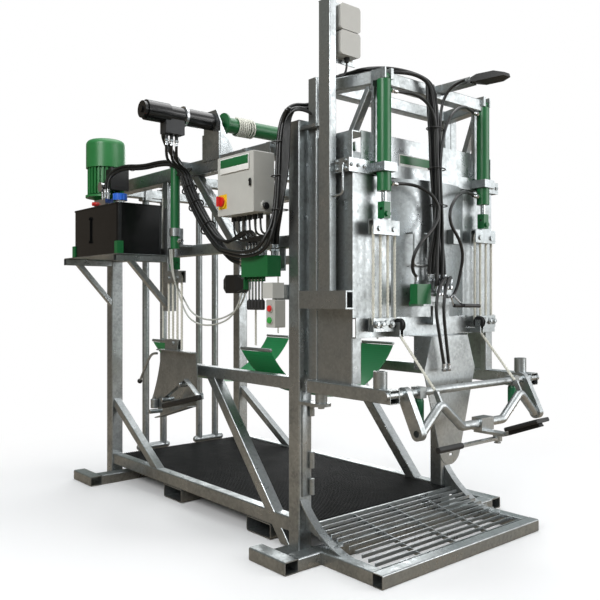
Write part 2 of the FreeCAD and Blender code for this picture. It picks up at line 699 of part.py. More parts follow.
# Power unit: two arms and their struts carry a plate, on it the oil tank and pump motor
tank_y1 = near_out - 20
tank_y0 = tank_y1 - tank_depth
arm_size = 40.0
tray_thick = 4.0
arm_z = tank_bottom - tray_thick - arm_size / 2
strut_foot_z = 1180.0
tray_arms = []
for x, wall_y in ((rear_x + 20, near_out), (hanger_x, near_y - light_tube / 2)):
    tray_arms.append(tube(V(x, tank_y0 - 6, arm_z), V(x, wall_y, arm_z), arm_size, arm_size, 3, X))
    strut = tube(V(x, tank_y0 + 40, arm_z + 40), V(x, wall_y + 60, strut_foot_z - 80), 34, 34, 3, X)
    keep = box(x - 30, x + 30, tank_y0, wall_y, strut_foot_z - 200, arm_z - arm_size / 2)
    tray_arms.append(strut.common(keep))
tray = box(rear_x + 6, tank_x1 + 8, tank_y0 - 6, near_out, tank_bottom - tray_thick, tank_bottom)
add("side_frames", *tray_arms)
add("side_frames", tray)

tank_corner = 24.0
tank_wall = 3.0
lid_thick = 8.0
tank_mid = V((tank_x0 + tank_x1) / 2, (tank_y0 + tank_y1) / 2, tank_bottom)
tank_w = tank_x1 - tank_x0
shell = Part.Face(rounded_wire(tank_w, tank_depth, tank_corner)).extrude(Z * (tank_top - tank_bottom))
hollow = Part.Face(rounded_wire(tank_w - 2 * tank_wall, tank_depth - 2 * tank_wall,
                                tank_corner - tank_wall)).extrude(Z * (tank_top - tank_bottom))
hollow.translate(Z * tank_wall)
shell = shell.cut(hollow)
lid = Part.Face(rounded_wire(tank_w + 8, tank_depth + 8, tank_corner + 4)).extrude(Z * lid_thick)
lid.translate(Z * (tank_top - tank_bottom))
for piece in (shell, lid):
    piece.translate(tank_mid)
add("oil_tank", shell, lid)
# corner feet clip round the tank's lower corners
foot_block = []
for x, dx in ((tank_x0, 1), (tank_x1, -1)):
    for y, dy in ((tank_y0, 1),):
        corner_foot = box(min(x - dx * 8, x + dx * 30), max(x - dx * 8, x + dx * 30),
                          min(y - dy * 8, y + dy * 30), max(y - dy * 8, y + dy * 30),
                          tank_bottom, tank_bottom + 70)
        blank = Part.Face(rounded_wire(tank_w, tank_depth, tank_corner)).extrude(Z * 100)
        blank.translate(tank_mid)
        foot_block.append(corner_foot.cut(blank))
add("oil_tank", *foot_block)
# level gauge on the outer wall: two bolts carry a slim sight tube
gauge_x = (tank_x0 + tank_x1) / 2 - 60
gauge_z0 = tank_bottom + 75
gauge_z1 = tank_top - 50
sight = box(gauge_x - 9, gauge_x + 9, tank_y0 - 9, tank_y0 - 3, gauge_z0, gauge_z1)
for z in (gauge_z0 + 10, gauge_z1 - 10):
    sight = sight.fuse(rod(V(gauge_x, tank_y0, z), V(gauge_x, tank_y0 - 14, z), 8))
add("oil_tank", sight)
# filler breather with a lobed cap
lid_top = tank_top + lid_thick
breather_x = -1325.0
breather_y = tank_y0 + 80
neck = rod(V(breather_x, breather_y, lid_top), V(breather_x, breather_y, lid_top + 26), 26)
cap_body = rod(V(breather_x, breather_y, lid_top + 26), V(breather_x, breather_y, lid_top + 66), 42)
for i in range(12):
    angle = math.radians(30 * i)
    cx = breather_x + 45 * math.cos(angle)
    cy = breather_y + 45 * math.sin(angle)
    cap_body = cap_body.cut(rod(V(cx, cy, lid_top + 20), V(cx, cy, lid_top + 70), 7))
add("oil_tank", neck, cap_body)

# Pump motor: flange and bell, finned body, cowl over the fan, terminal box
motor_y = tank_y0 + 145
motor_z0 = lid_top
flange_z = 1835.0
body_z0 = flange_z + 13
body_z1 = 2012.0
cowl_r = motor_r + 9
cowl_top = 2190.0


def turned(points, x, y):
    """A solid of revolution about a vertical axis, from radius and height pairs."""
    profile = [V(r, 0, z) for r, z in points]
    face = Part.Face(Part.makePolygon(profile + [profile[0]]))
    solid = face.revolve(V(0, 0, 0), Z, 360)
    solid.translate(V(x, y, 0))
    return solid


bell = turned(((0, motor_z0), (88, motor_z0), (88, motor_z0 + 12), (66, motor_z0 + 22),
               (66, flange_z - 26), (96, flange_z - 8), (124, flange_z - 8), (124, flange_z + 5),
               (90, flange_z + 5), (90, body_z0), (0, body_z0)), motor_x, motor_y)
fin_count = 28
fin_root = motor_r - 14
fins = []
for i in range(fin_count):
    start = 2 * math.pi * i / fin_count
    for r, share in ((fin_root, 0.0), (motor_r, 0.05), (motor_r, 0.45), (fin_root, 0.5)):
        a = start + 2 * math.pi / fin_count * share
        fins.append(V(motor_x + r * math.cos(a), motor_y + r * math.sin(a), body_z0))
motor_body = slab(fins, Z, body_z1 - body_z0)
box_pad = box(motor_x + fin_root - 12, motor_x + motor_r + 4, motor_y - 42, motor_y + 42,
              body_z0 + 18, body_z0 + 136)
motor_body = motor_body.fuse(box_pad)
cowl_round = 34.0
cowl_wall = 3.0
arc_drop = cowl_round * (1 - math.sqrt(0.5))
outer_arc = Part.Arc(V(cowl_r, 0, cowl_top - cowl_round),
                     V(cowl_r - arc_drop, 0, cowl_top - arc_drop),
                     V(cowl_r - cowl_round, 0, cowl_top)).toShape()
inner_round = cowl_round - cowl_wall
inner_drop = inner_round * (1 - math.sqrt(0.5))
inner_r = cowl_r - cowl_wall
inner_top = cowl_top - cowl_wall
inner_arc = Part.Arc(V(inner_r - inner_round, 0, inner_top),
                     V(inner_r - inner_drop, 0, inner_top - inner_drop),
                     V(inner_r, 0, inner_top - inner_round)).toShape()
cowl_z0 = body_z1 + 2


def line(a, b):
    """A straight edge."""
    return Part.LineSegment(a, b).toShape()


cowl_wire = Part.Wire([
    line(V(0, 0, inner_top), V(inner_r - inner_round, 0, inner_top)), inner_arc,
    line(V(inner_r, 0, inner_top - inner_round), V(inner_r, 0, cowl_z0)),
    line(V(inner_r, 0, cowl_z0), V(cowl_r, 0, cowl_z0)),
    line(V(cowl_r, 0, cowl_z0), V(cowl_r, 0, cowl_top - cowl_round)), outer_arc,
    line(V(cowl_r - cowl_round, 0, cowl_top), V(0, 0, cowl_top)),
    line(V(0, 0, cowl_top), V(0, 0, inner_top))])
cowl = Part.Face(cowl_wire).revolve(V(0, 0, 0), Z, 360)
cowl.translate(V(motor_x, motor_y, 0))
# the end shield closes the body and carries the cowl
end_shield = turned(((0, body_z1), (cowl_r, body_z1), (cowl_r, cowl_z0), (inner_r - 1, cowl_z0),
                     (inner_r - 1, cowl_z0 + 14), (0, cowl_z0 + 14)), motor_x, motor_y)
add("pump_motor", bell, motor_body, end_shield, cowl)
terminal_x = motor_x + motor_r + 4
terminal = box(terminal_x, terminal_x + 62, motor_y - 56, motor_y + 56, body_z0 + 14, body_z0 + 140)
terminal = terminal.makeFillet(6, [e for e in terminal.Edges if abs(e.tangentAt(0).x) > 0.9])
terminal_lid = box(terminal_x + 62, terminal_x + 76, motor_y - 60, motor_y + 60,
                   body_z0 + 10, body_z0 + 144)
add("pump_motor", terminal, terminal_lid)

# Pressure block with its gauge and red plug, on the tank lid beside the bell
press_x = -1500.0
press_y = tank_y0 + 52
press = box(press_x - 60, press_x + 90, press_y - 26, press_y + 26, lid_top, lid_top + 44)
plug = rod(V(press_x - 40, press_y - 26, lid_top + 22), V(press_x - 40, press_y - 46, lid_top + 22), 12)
stem = rod(V(press_x, press_y, lid_top + 44), V(press_x, press_y, lid_top + 96), 7)
dial = rod(V(press_x, press_y - 18, lid_top + 124), V(press_x, press_y + 12, lid_top + 124), 30)
add("oil_tank", press, plug, stem.cut(dial), dial)
fittings = []
for x in (press_x + 40, press_x + 74):
    fittings.append(rod(V(x, press_y, lid_top + 44), V(x, press_y, lid_top + 70), 9))
add("oil_tank", *fittings)

# Winch: bracket on the near roof beam, motor and gearbox, drum across the machine
winch_in = near_y + 30.0
plate_x0 = winch_x - 82
plate_x1 = winch_x + 82
plate_y = near_y + 6
bracket_low = beam_top - 20
flange_plate = box(plate_x0, plate_x1, near_out - 6, near_out, bracket_low, winch_z - 62)
seat = box(plate_x0, plate_x1, near_out, winch_in + 20, beam_top, beam_top + 8)
web_points = [V(plate_x0, near_out, beam_top + 8), V(plate_x0 + 8, near_out, beam_top + 8)]
bearing_y0 = near_y - 36
bearing = slab([V(plate_x0, bearing_y0, beam_top + 8), V(plate_x1, bearing_y0, beam_top + 8),
                V(plate_x1, bearing_y0, winch_z - 10), V(winch_x + 40, bearing_y0, winch_z + 62),
                V(plate_x0, bearing_y0, winch_z + 62)], Y, 8)
shaft_r = 16.0
bearing = bearing.cut(rod(V(winch_x, bearing_y0 - 1, winch_z), V(winch_x, bearing_y0 + 9, winch_z),
                          shaft_r + running_gap))
side_points = [V(0, bearing_y0 + 8, beam_top + 8), V(0, winch_in + 20, beam_top + 8),
               V(0, winch_in + 20, beam_top + 30), V(0, bearing_y0 + 8, winch_z - 20)]
bracket = seat.fuse([flange_plate, bearing])
for x in (plate_x0, plate_x1 - 8):
    bracket = bracket.fuse(slab([V(x, p.y, p.z) for p in side_points], X, 8))
add("winch_bracket", bracket.removeSplitter())

gear_r = 46.0
gear_y0 = -734.0
motor_end = -987.0
gearbox = rod(V(winch_x, gear_y0, winch_z), V(winch_x, bearing_y0, winch_z), gear_r)
gearbox = gearbox.cut(rod(V(winch_x, bearing_y0 - 40, winch_z), V(winch_x, bearing_y0 + 1, winch_z),
                          shaft_r + running_gap))
ring_part = rod(V(winch_x, gear_y0 - 14, winch_z), V(winch_x, gear_y0, winch_z), gear_r + 8)
can = rod(V(winch_x, motor_end + 20, winch_z), V(winch_x, gear_y0 - 14, winch_z), 44)
can = can.fuse(rod(V(winch_x, motor_end + 20, winch_z), V(winch_x, motor_end + 150, winch_z), 52))
can = can.fuse(rod(V(winch_x, motor_end, winch_z), V(winch_x, motor_end + 20, winch_z), 44))
can = can.fuse(rod(V(winch_x, motor_end - 8, winch_z), V(winch_x, motor_end, winch_z), 17))
add("winch_motor", gearbox, ring_part, can)
block_y0 = gear_y0 - 130
valve_low = winch_z - 44 - 62
valve_block = box(winch_x - 30, winch_x + 34, block_y0, gear_y0 - 20, valve_low, winch_z - 30)
valve_block = valve_block.cut(can)
add("winch_motor", valve_block)
ports = []
for y in (block_y0 + 20, block_y0 + 50, block_y0 + 80):
    ports.append(rod(V(winch_x, y, valve_low - 26), V(winch_x, y, valve_low), 9))
add("winch_motor", *ports)

# The drum turns in the bracket and in a far bearing; its rope lies in one layer of turns
drum_y0 = near_y + 60
drum_y1 = far_y - 60
shaft_y0 = bearing_y0 - 38
far_bearing_y = far_y - 20
core = rod(V(winch_x, drum_y0, winch_z), V(winch_x, drum_y1, winch_z), drum_r)
shaft = rod(V(winch_x, shaft_y0, winch_z), V(winch_x, far_bearing_y + 10, winch_z), shaft_r)
disc_y = near_y + 36
disc = rod(V(winch_x, disc_y, winch_z), V(winch_x, disc_y + 10, winch_z), 62)
drum = core.fuse([shaft, disc, rod(V(winch_x, disc_y + 10, winch_z), V(winch_x, drum_y0, winch_z), 24)])
add("winch_drum", drum)
far_plate = slab([V(winch_x - 60, far_bearing_y, beam_top), V(winch_x + 60, far_bearing_y, beam_top),
                  V(winch_x + 34, far_bearing_y, winch_z + 40),
                  V(winch_x - 34, far_bearing_y, winch_z + 40)], Y, 10)
far_plate = far_plate.cut(rod(V(winch_x, far_bearing_y - 1, winch_z),
                              V(winch_x, far_bearing_y + 11, winch_z), shaft_r + running_gap))
add("winch_bracket", far_plate)

# Wound rope: half turns on alternate sides, each a quarter pitch further along the drum
wind_pitch = 13.0
wind_turns = 9
sling_rope_r = 6.0
wind_r = drum_r + sling_rope_r + 0.2
wind_y0 = drum_y0 + 60


def winding(turns, pitch, radius, y_start):
    """One rope's centre line round the drum, in half turns tilted by the pitch."""
    edges = []
    y = y_start
    for i in range(2 * turns):
        side = 1 if i % 2 == 0 else -1
        p = V(winch_x, y, winch_z + side * radius)
        q = V(winch_x, y + pitch / 2, winch_z - side * radius)
        mid = V(winch_x + side * radius, y + pitch / 4, winch_z)
        edges.append(Part.Arc(p, mid, q).toShape())
        y += pitch / 2
    return Part.Wire(edges)


wind_line = winding(wind_turns, wind_pitch, wind_r, wind_y0)
ring = Part.Wire(Part.makeCircle(sling_rope_r, V(winch_x, wind_y0, winch_z + wind_r), X))
wound = wind_line.makePipeShell([ring], True, False)
points = wind_line.discretize(wind_turns * 48)
least = min((points[i] - points[j]).Length for i in range(len(points))
            for j in range(i + 24, min(len(points), i + 80)))
print("drum rope: least self gap %.2f mm" % (least - 2 * sling_rope_r))
add("drum_rope", wound)


# Belly slings: each a broad belt hung in an arc across the floor, its ends on two ropes
sling_thick = 5.0
sling_half_y = far_y - 60
sling_top = 915.0
sling_low = 650.0
sling_places = ((-1400.0, 125.0), (-430.0, 130.0))
sling_rise = sling_top - sling_low
sling_rope_top = beam_top - post_size + 2


def sling_arc(depth):
    """The sling's cross line: one arc through its two ends and its low middle."""
    side = math.sqrt(0.5)
    radius = (sling_half_y ** 2 + sling_rise ** 2) / (2 * sling_rise)
    centre_z = sling_low + radius
    r = radius - depth
    half = math.asin(sling_half_y / radius)
    a = V(0, -r * math.sin(half), centre_z - r * math.cos(half))
    b = V(0, 0, centre_z - r)
    c = V(0, r * math.sin(half), centre_z - r * math.cos(half))
    return a, b, c


slings = []
sling_ropes = []
for x, half_w in sling_places:
    a, b, c = sling_arc(0)
    d, e, f = sling_arc(sling_thick)
    wire = Part.Wire([Part.Arc(a, b, c).toShape(), line(c, f), Part.Arc(f, e, d).toShape(), line(d, a)])
    belt = Part.Face(wire).extrude(X * (2 * half_w))
    belt.translate(X * (x - half_w))
    slings.append(belt)
    for side in (-1, 1):
        y = side * sling_half_y
        # a stiff end bar, its bail and the rope's eye
        bar = rod(V(x - half_w, y, sling_top + 9), V(x + half_w, y, sling_top + 9), 9)
        eye = rod(V(x - 8, y, sling_top + 24), V(x + 8, y, sling_top + 24), 9)
        slings.append(bar.fuse(eye).cut(belt))
        rope = rod(V(x, y, sling_top + 33 + clearance), V(x, y, sling_rope_top), sling_rope_r)
        sling_ropes.append(rope)
add("belly_slings", *slings)
add("sling_ropes", *sling_ropes)
# eyes under the roof where the sling ropes run up
roof_eyes = []
for x, half_w in sling_places:
    for side in (-1, 1):
        y = side * sling_half_y
        y0, y1 = sorted((y - side * 14, side * (far_y - half_post)))
        arm = box(x - 20, x + 20, y0, y1, sling_rope_top, sling_rope_top + 8)
        roof_eyes.append(arm)
add("roof_frame", *roof_eyes)


# Control box on two straps between the roof beam and the upper rail
box_x0 = -415.0
box_x1 = box_x0 + box_size
box_z0 = 1606.0
box_z1 = box_z0 + box_size - 8
box_back = near_y - 66
door_thick = 18.0
box_front = box_back - (box_depth - door_thick)
shell_wall = 2.0
enclosure = box(box_x0, box_x1, box_front, box_back, box_z0, box_z1)
enclosure = enclosure.makeFillet(6, [e for e in enclosure.Edges if abs(e.tangentAt(0).y) > 0.9])
enclosure = enclosure.cut(box(box_x0 + 2, box_x1 - 2, box_front - 1, box_back - 2,
                              box_z0 + shell_wall, box_z1 - shell_wall))
gland_count = 6
gland_pitch = 44.0
gland_x0 = box_x0 + 40
gland_y = (box_front + box_back) / 2
glands = []
for i in range(gland_count):
    x = gland_x0 + i * gland_pitch
    hole = rod(V(x, gland_y, box_z0 - 1), V(x, gland_y, box_z0 + shell_wall + 1), 9)
    enclosure = enclosure.cut(hole)
    glands.append(rod(V(x, gland_y, box_z0 - 24), V(x, gland_y, box_z0), 13))
plug_y = box_front + 46
side_plug = rod(V(box_x1, plug_y, box_z0 + 36), V(box_x1 + 9, plug_y, box_z0 + 36), 20)
add("control_box", enclosure, side_plug, *glands)
straps = []
for x in (box_x0 + 50, box_x1 - 50):
    straps.append(box(x - 15, x + 15, box_back, box_back + 5, upper_rail_z - 20, beam_top - 10))
    straps.append(box(x - 15, x + 15, box_back + 5, near_out, beam_top - 34, beam_top - 10))
    straps.append(box(x - 15, x + 15, box_back + 5, near_y - mid_rail_size / 2,
                      upper_rail_z - 20, upper_rail_z + 4))
add("side_frames", *straps)

# Door: a folded lid hinged on its left edge, with a lock; the hinge knuckles are on the box
hinge_x = box_x0 - 7
hinge_y = box_front - 7
door_y0 = box_front - door_thick
door = box(box_x0, box_x1, door_y0, box_front - clearance, box_z0, box_z1)
door = door.makeFillet(5, [e for e in door.Edges if abs(e.tangentAt(0).y) > 0.9])
door = door.cut(box(box_x0 + 2, box_x1 - 2, door_y0 + 2, box_front, box_z0 + 2, box_z1 - 2))
lock_x = -143.0
lock_z = 1748.0
lock = rod(V(lock_x, door_y0 - 5, lock_z), V(lock_x, door_y0 + 10, lock_z), 11)
door = door.fuse(lock)
switch_x = -371.0
switch_z = 1676.0
switch_hole = rod(V(switch_x, door_y0 - 1, switch_z), V(switch_x, door_y0 + 3, switch_z), 8)
door = door.cut(switch_hole)
switch_plate = rod(V(switch_x, door_y0 - 6, switch_z), V(switch_x, door_y0, switch_z), 34)
switch_plate = switch_plate.cut(rod(V(switch_x, door_y0 - 7, switch_z), V(switch_x, door_y0 + 1, switch_z),
                                    6 + running_gap))
knuckles = []
pins = []
for z in (box_z0 + 40, box_z1 - 70):
    ear = box(hinge_x - 5, box_x0 + 30, hinge_y - 5, hinge_y + 5, z + 10.3, z + 19.7)
    ear = ear.cut(box(box_x0, box_x1, door_y0 + 2, box_front, box_z0, box_z1))
    ear = ear.cut(rod(V(hinge_x, hinge_y, z), V(hinge_x, hinge_y, z + 30), 3 + running_gap))
    door = door.fuse(ear)
    for z0 in (z, z + 20):
        ear = box(hinge_x - 5, hinge_x + 5, hinge_y - 5, hinge_y + 5, z0, z0 + 10)
        leaf = box(hinge_x - 5, box_x0, hinge_y + 5, hinge_y + 22, z0, z0 + 10)
        knuckles.append(ear.fuse(leaf).removeSplitter())
    pins.append(rod(V(hinge_x, hinge_y, z), V(hinge_x, hinge_y, z + 30), 3))
fused = []
for i in range(2):
    fused.append(knuckles[2 * i].fuse(pins[i]))
    fused.append(knuckles[2 * i + 1].cut(pins[i]))
add("control_box", *fused)
add("control_box_door", door, switch_plate)
knob = rod(V(switch_x, door_y0 - 34, switch_z), V(switch_x, door_y0 - 6.3, switch_z), 25)
for side in (-1, 1):
    for y0 in (door_y0 - 35,):
        x0, x1 = sorted((switch_x + side * 8, switch_x + side * 30))
        knob = knob.cut(box(x0, x1, y0, y0 + 17, switch_z - 30, switch_z + 30))
knob = knob.fuse(rod(V(switch_x, door_y0 - 8, switch_z), V(switch_x, door_y0 + 6, switch_z), 6))
add("main_switch", knob)

# Valve bank under the upper rail: a green block on a bracket, five levers in rubber boots
bank_x0 = -270.0
bank_x1 = -60.0
bank_y0 = near_y - 150
bank_y1 = near_y - 70
bank_z0 = 1300.0
bank_z1 = 1400.0
bank = box(bank_x0, bank_x1, bank_y0, bank_y1, bank_z0, bank_z1)
lever_count = 5
lever_pitch = 26.0
lever_x0 = bank_x0 + 14
lever_y = (bank_y0 + bank_y1) / 2
pivot_z = bank_z0 - 12
bank_parts = []
for i in range(lever_count):
    x = lever_x0 + i * lever_pitch
    bank_parts.append(rod(V(x, lever_y - 18, bank_z1), V(x, lever_y - 18, bank_z1 + 22), 9))
    bank_parts.append(rod(V(x, lever_y + 18, bank_z1), V(x, lever_y + 18, bank_z1 + 22), 9))
    # two ears under the block hold each lever's pin, which lies along the bank
    for side in (-1, 1):
        x0, x1 = sorted((x + side * 8.3, x + side * 12.3))
        ear = box(x0, x1, lever_y - 10, lever_y + 10, bank_z0 - 22, bank_z0)
        bank_parts.append(ear.cut(rod(V(x0 - 1, lever_y, pivot_z), V(x1 + 1, lever_y, pivot_z),
                                      3 + running_gap)))
add("valve_bank", bank, *bank_parts)
bank_arm = box(bank_x1 - 60, bank_x1 - 20, bank_y1, near_y - mid_rail_size / 2, bank_z0 + 30, bank_z0 + 40)
add("side_frames", bank_arm)
bank_post = box(bank_x1 - 60, bank_x1 - 20, near_y - mid_rail_size / 2, near_y - mid_rail_size / 2 + 8,
                bank_z0 + 30, upper_rail_z - mid_rail_size / 2)
add("side_frames", bank_post)
lever_low = 1190.0
grip_low = 1140.0
for i in range(lever_count):
    x = lever_x0 + i * lever_pitch
    hub = rod(V(x - 8, lever_y, pivot_z), V(x + 8, lever_y, pivot_z), 8)
    pin = rod(V(x - 12.3, lever_y, pivot_z), V(x + 12.3, lever_y, pivot_z), 3)
    stem = rod(V(x, lever_y, pivot_z - 4), V(x, lever_y, lever_low), 5)
    grip = turned(((0, grip_low), (9, grip_low), (13, grip_low + 6), (13, lever_low - 8),
                   (8, lever_low), (0, lever_low)), x, lever_y)
    add("valve_lever_%d" % (i + 1), hub.fuse([pin, stem]), grip)
# the black boot of the main control stands out at the end of the bank
boot = []
for dx, half_h, half_y in ((0, 20, 20), (-50, 46, 36), (-130, 46, 36), (-172, 22, 22)):
    boot.append(Part.makePolygon([V(bank_x0 + dx, lever_y - half_y, 1268 - half_h),
                                  V(bank_x0 + dx, lever_y + half_y, 1268 - half_h),
                                  V(bank_x0 + dx, lever_y + half_y, 1268 + half_h),
                                  V(bank_x0 + dx, lever_y - half_y, 1268 + half_h),
                                  V(bank_x0 + dx, lever_y - half_y, 1268 - half_h)]))
knob_boot = Part.makeLoft(boot, True, True)
knob_carrier = box(bank_x0 - 8, bank_x0, lever_y - 20, lever_y + 20, 1240, bank_z0 + 40)
knob_boot.translate(X * -8)
add("valve_bank", knob_boot, knob_carrier)

# Junction box and push-button box below the bank, on a strap from the front post
jb_y1 = near_y - 50
strap_x0 = -half_post - 40
junction = box(-136, -60, jb_y1 - 70, jb_y1, 1196, 1271)
button_front = jb_y1 - 62
buttons_box = box(-118, -50, button_front, jb_y1, 1057, 1190)
buttons_box = buttons_box.makeFillet(6, [e for e in buttons_box.Edges if abs(e.tangentAt(0).y) > 0.9])
button_x = -84.0
button_r = 15.0
button_zs = {"stop_button": 1148.0, "start_button": 1092.0}
for name, z in button_zs.items():
    seat_ring = rod(V(button_x, button_front - 5, z), V(button_x, button_front, z), button_r + 5)
    buttons_box = buttons_box.fuse(seat_ring)
    bore = rod(V(button_x, button_front - 6, z), V(button_x, button_front + 24, z), button_r + running_gap)
    buttons_box = buttons_box.cut(bore)
    cap_button = rod(V(button_x, button_front - 13, z), V(button_x, button_front + 12, z), button_r)
    cap_button = cap_button.makeFillet(2, [e for e in cap_button.Edges
                                           if abs(e.CenterOfMass.y - button_front + 13) < 0.1])
    add(name, cap_button)
    spring_seat = rod(V(button_x, button_front + 22, z), V(button_x, button_front + 24, z), 8)
add("button_box", junction, buttons_box)
strap = box(-150, -half_post, jb_y1, jb_y1 + 6, 1190, 1262)
strap = strap.fuse(box(-half_post - 6, -half_post, jb_y1 + 6, near_y, 1190, 1262))
strap = strap.fuse(box(-118, -60, jb_y1, jb_y1 + 6, 1070, 1190)).removeSplitter()
add("side_frames", strap)

# Lugs on the near front post carry the gate; the gate turns about one upright line
lug_thick = 15.0
lug_z = 700.0
top_lug_z = 1985.0
lug_half = 45.0


def post_lug(z0):
    """A plate from the post's face, round about the pivot, with the pin's hole."""
    plate = box(half_post, gate_pivot_x, near_y - lug_half, near_y + lug_half, z0, z0 + lug_thick)
    plate = plate.fuse(rod(V(gate_pivot_x, near_y, z0), V(gate_pivot_x, near_y, z0 + lug_thick), lug_half))
    hole = rod(V(gate_pivot_x, near_y, z0 - 1), V(gate_pivot_x, near_y, z0 + lug_thick + 1),
               gate_pin_r + running_gap)
    return plate.cut(hole)


add("front_lift_mounts", post_lug(lug_z))


# The upper lug reaches round the gate's tall tubes on their outer side
upper_lug = box(half_post, gate_pivot_x, near_y - 35, near_y - 4, top_lug_z, top_lug_z + lug_thick)
upper_lug = upper_lug.fuse(rod(V(gate_pivot_x, near_y, top_lug_z),
                               V(gate_pivot_x, near_y, top_lug_z + lug_thick), 29))
upper_lug = upper_lug.cut(rod(V(gate_pivot_x, near_y, top_lug_z - 1),
                              V(gate_pivot_x, near_y, top_lug_z + 20), gate_pin_r + running_gap))
add("front_lift_mounts", upper_lug)

# Rear gate: rails, tall tubes, beams and braces of one frame that swings about the pivot
rail_half = light_tube / 2
rail_z0 = mid_rail_z - mid_rail_size / 2 - 3
rail_top = rail_z0 + light_tube
rail_x0 = 85.0
tall_x0 = 57.0
tall_x1 = 117.0
tall_y1 = 425.0              # inner side of the tall tubes, from the middle
wall_x = gate_wall_x - 6     # back of the rear wall sheets
channel_z0 = 1020.0
channel_z1 = 1110.0
bar_z0 = 1752.0
bar_z1 = 1812.0
bar_x0 = cylinder_x - barrel_r - 11
head_x = 350.0
mast_x = 235.0
mast_y = -565.0
beam2_z = mast_post_top - 30
for side in (-1, 1):
    y = side * far_y
    rail = tube(V(rail_x0, y, rail_top - rail_half), V(gate_rail_end, y, rail_top - rail_half),
                light_tube, light_tube, light_wall, Y)
    rail = rail.cut(rod(V(pivot_bar_x, y - 40, pivot_bar_z), V(pivot_bar_x, y + 40, pivot_bar_z),
                        pivot_bar_r + running_gap))
    add("gate_frame", rail)
    tube_w = (far_y - tall_y1) / 2
    for k in range(2):
        yc = side * (tall_y1 + tube_w * (k + 0.5))
        low = rail_top if k == 1 else rail_top
        add("gate_frame", tube(V((tall_x0 + tall_x1) / 2, yc, low),
                               V((tall_x0 + tall_x1) / 2, yc, mast_post_top),
                               tall_x1 - tall_x0, tube_w, light_wall, X))
    arm = tube(V(40, side * 462, 2190), V(420, side * 356, 2190), 60, 60, light_wall, Y)
    add("gate_frame", arm.common(box(tall_x1, head_x, -520, 520, 2150, 2230)))
    stub_x = 520.0
    stub = pipe(V(stub_x, y, rail_top), V(stub_x, y, rail_top + 72), 30, 25)
    add("gate_frame", stub)
add("gate_frame", tube(V(87, -tall_y1, beam2_z), V(87, tall_y1, beam2_z), 60, 60, light_wall, X))
lower_pin = rod(V(gate_pivot_x, near_y, lug_z - 12), V(gate_pivot_x, near_y, rail_z0), gate_pin_r)
collar = rod(V(gate_pivot_x, near_y, lug_z + lug_thick + clearance),
             V(gate_pivot_x, near_y, rail_z0), 28)
add("gate_frame", lower_pin.fuse(collar))
hinge_z = top_lug_z + lug_thick + clearance
hinge = slab([V(tall_x1, near_y, hinge_z), V(tall_x1, near_y + 50, hinge_z),
              V(gate_pivot_x, near_y + 50, hinge_z), V(gate_pivot_x + 28, near_y, hinge_z),
              V(gate_pivot_x, near_y - 28, hinge_z), V(gate_pivot_x - 28, near_y - 2, hinge_z)], Z, 12)
hinge = hinge.fuse(rod(V(gate_pivot_x, near_y, top_lug_z - 10), V(gate_pivot_x, near_y, hinge_z), gate_pin_r))
add("gate_frame", hinge)

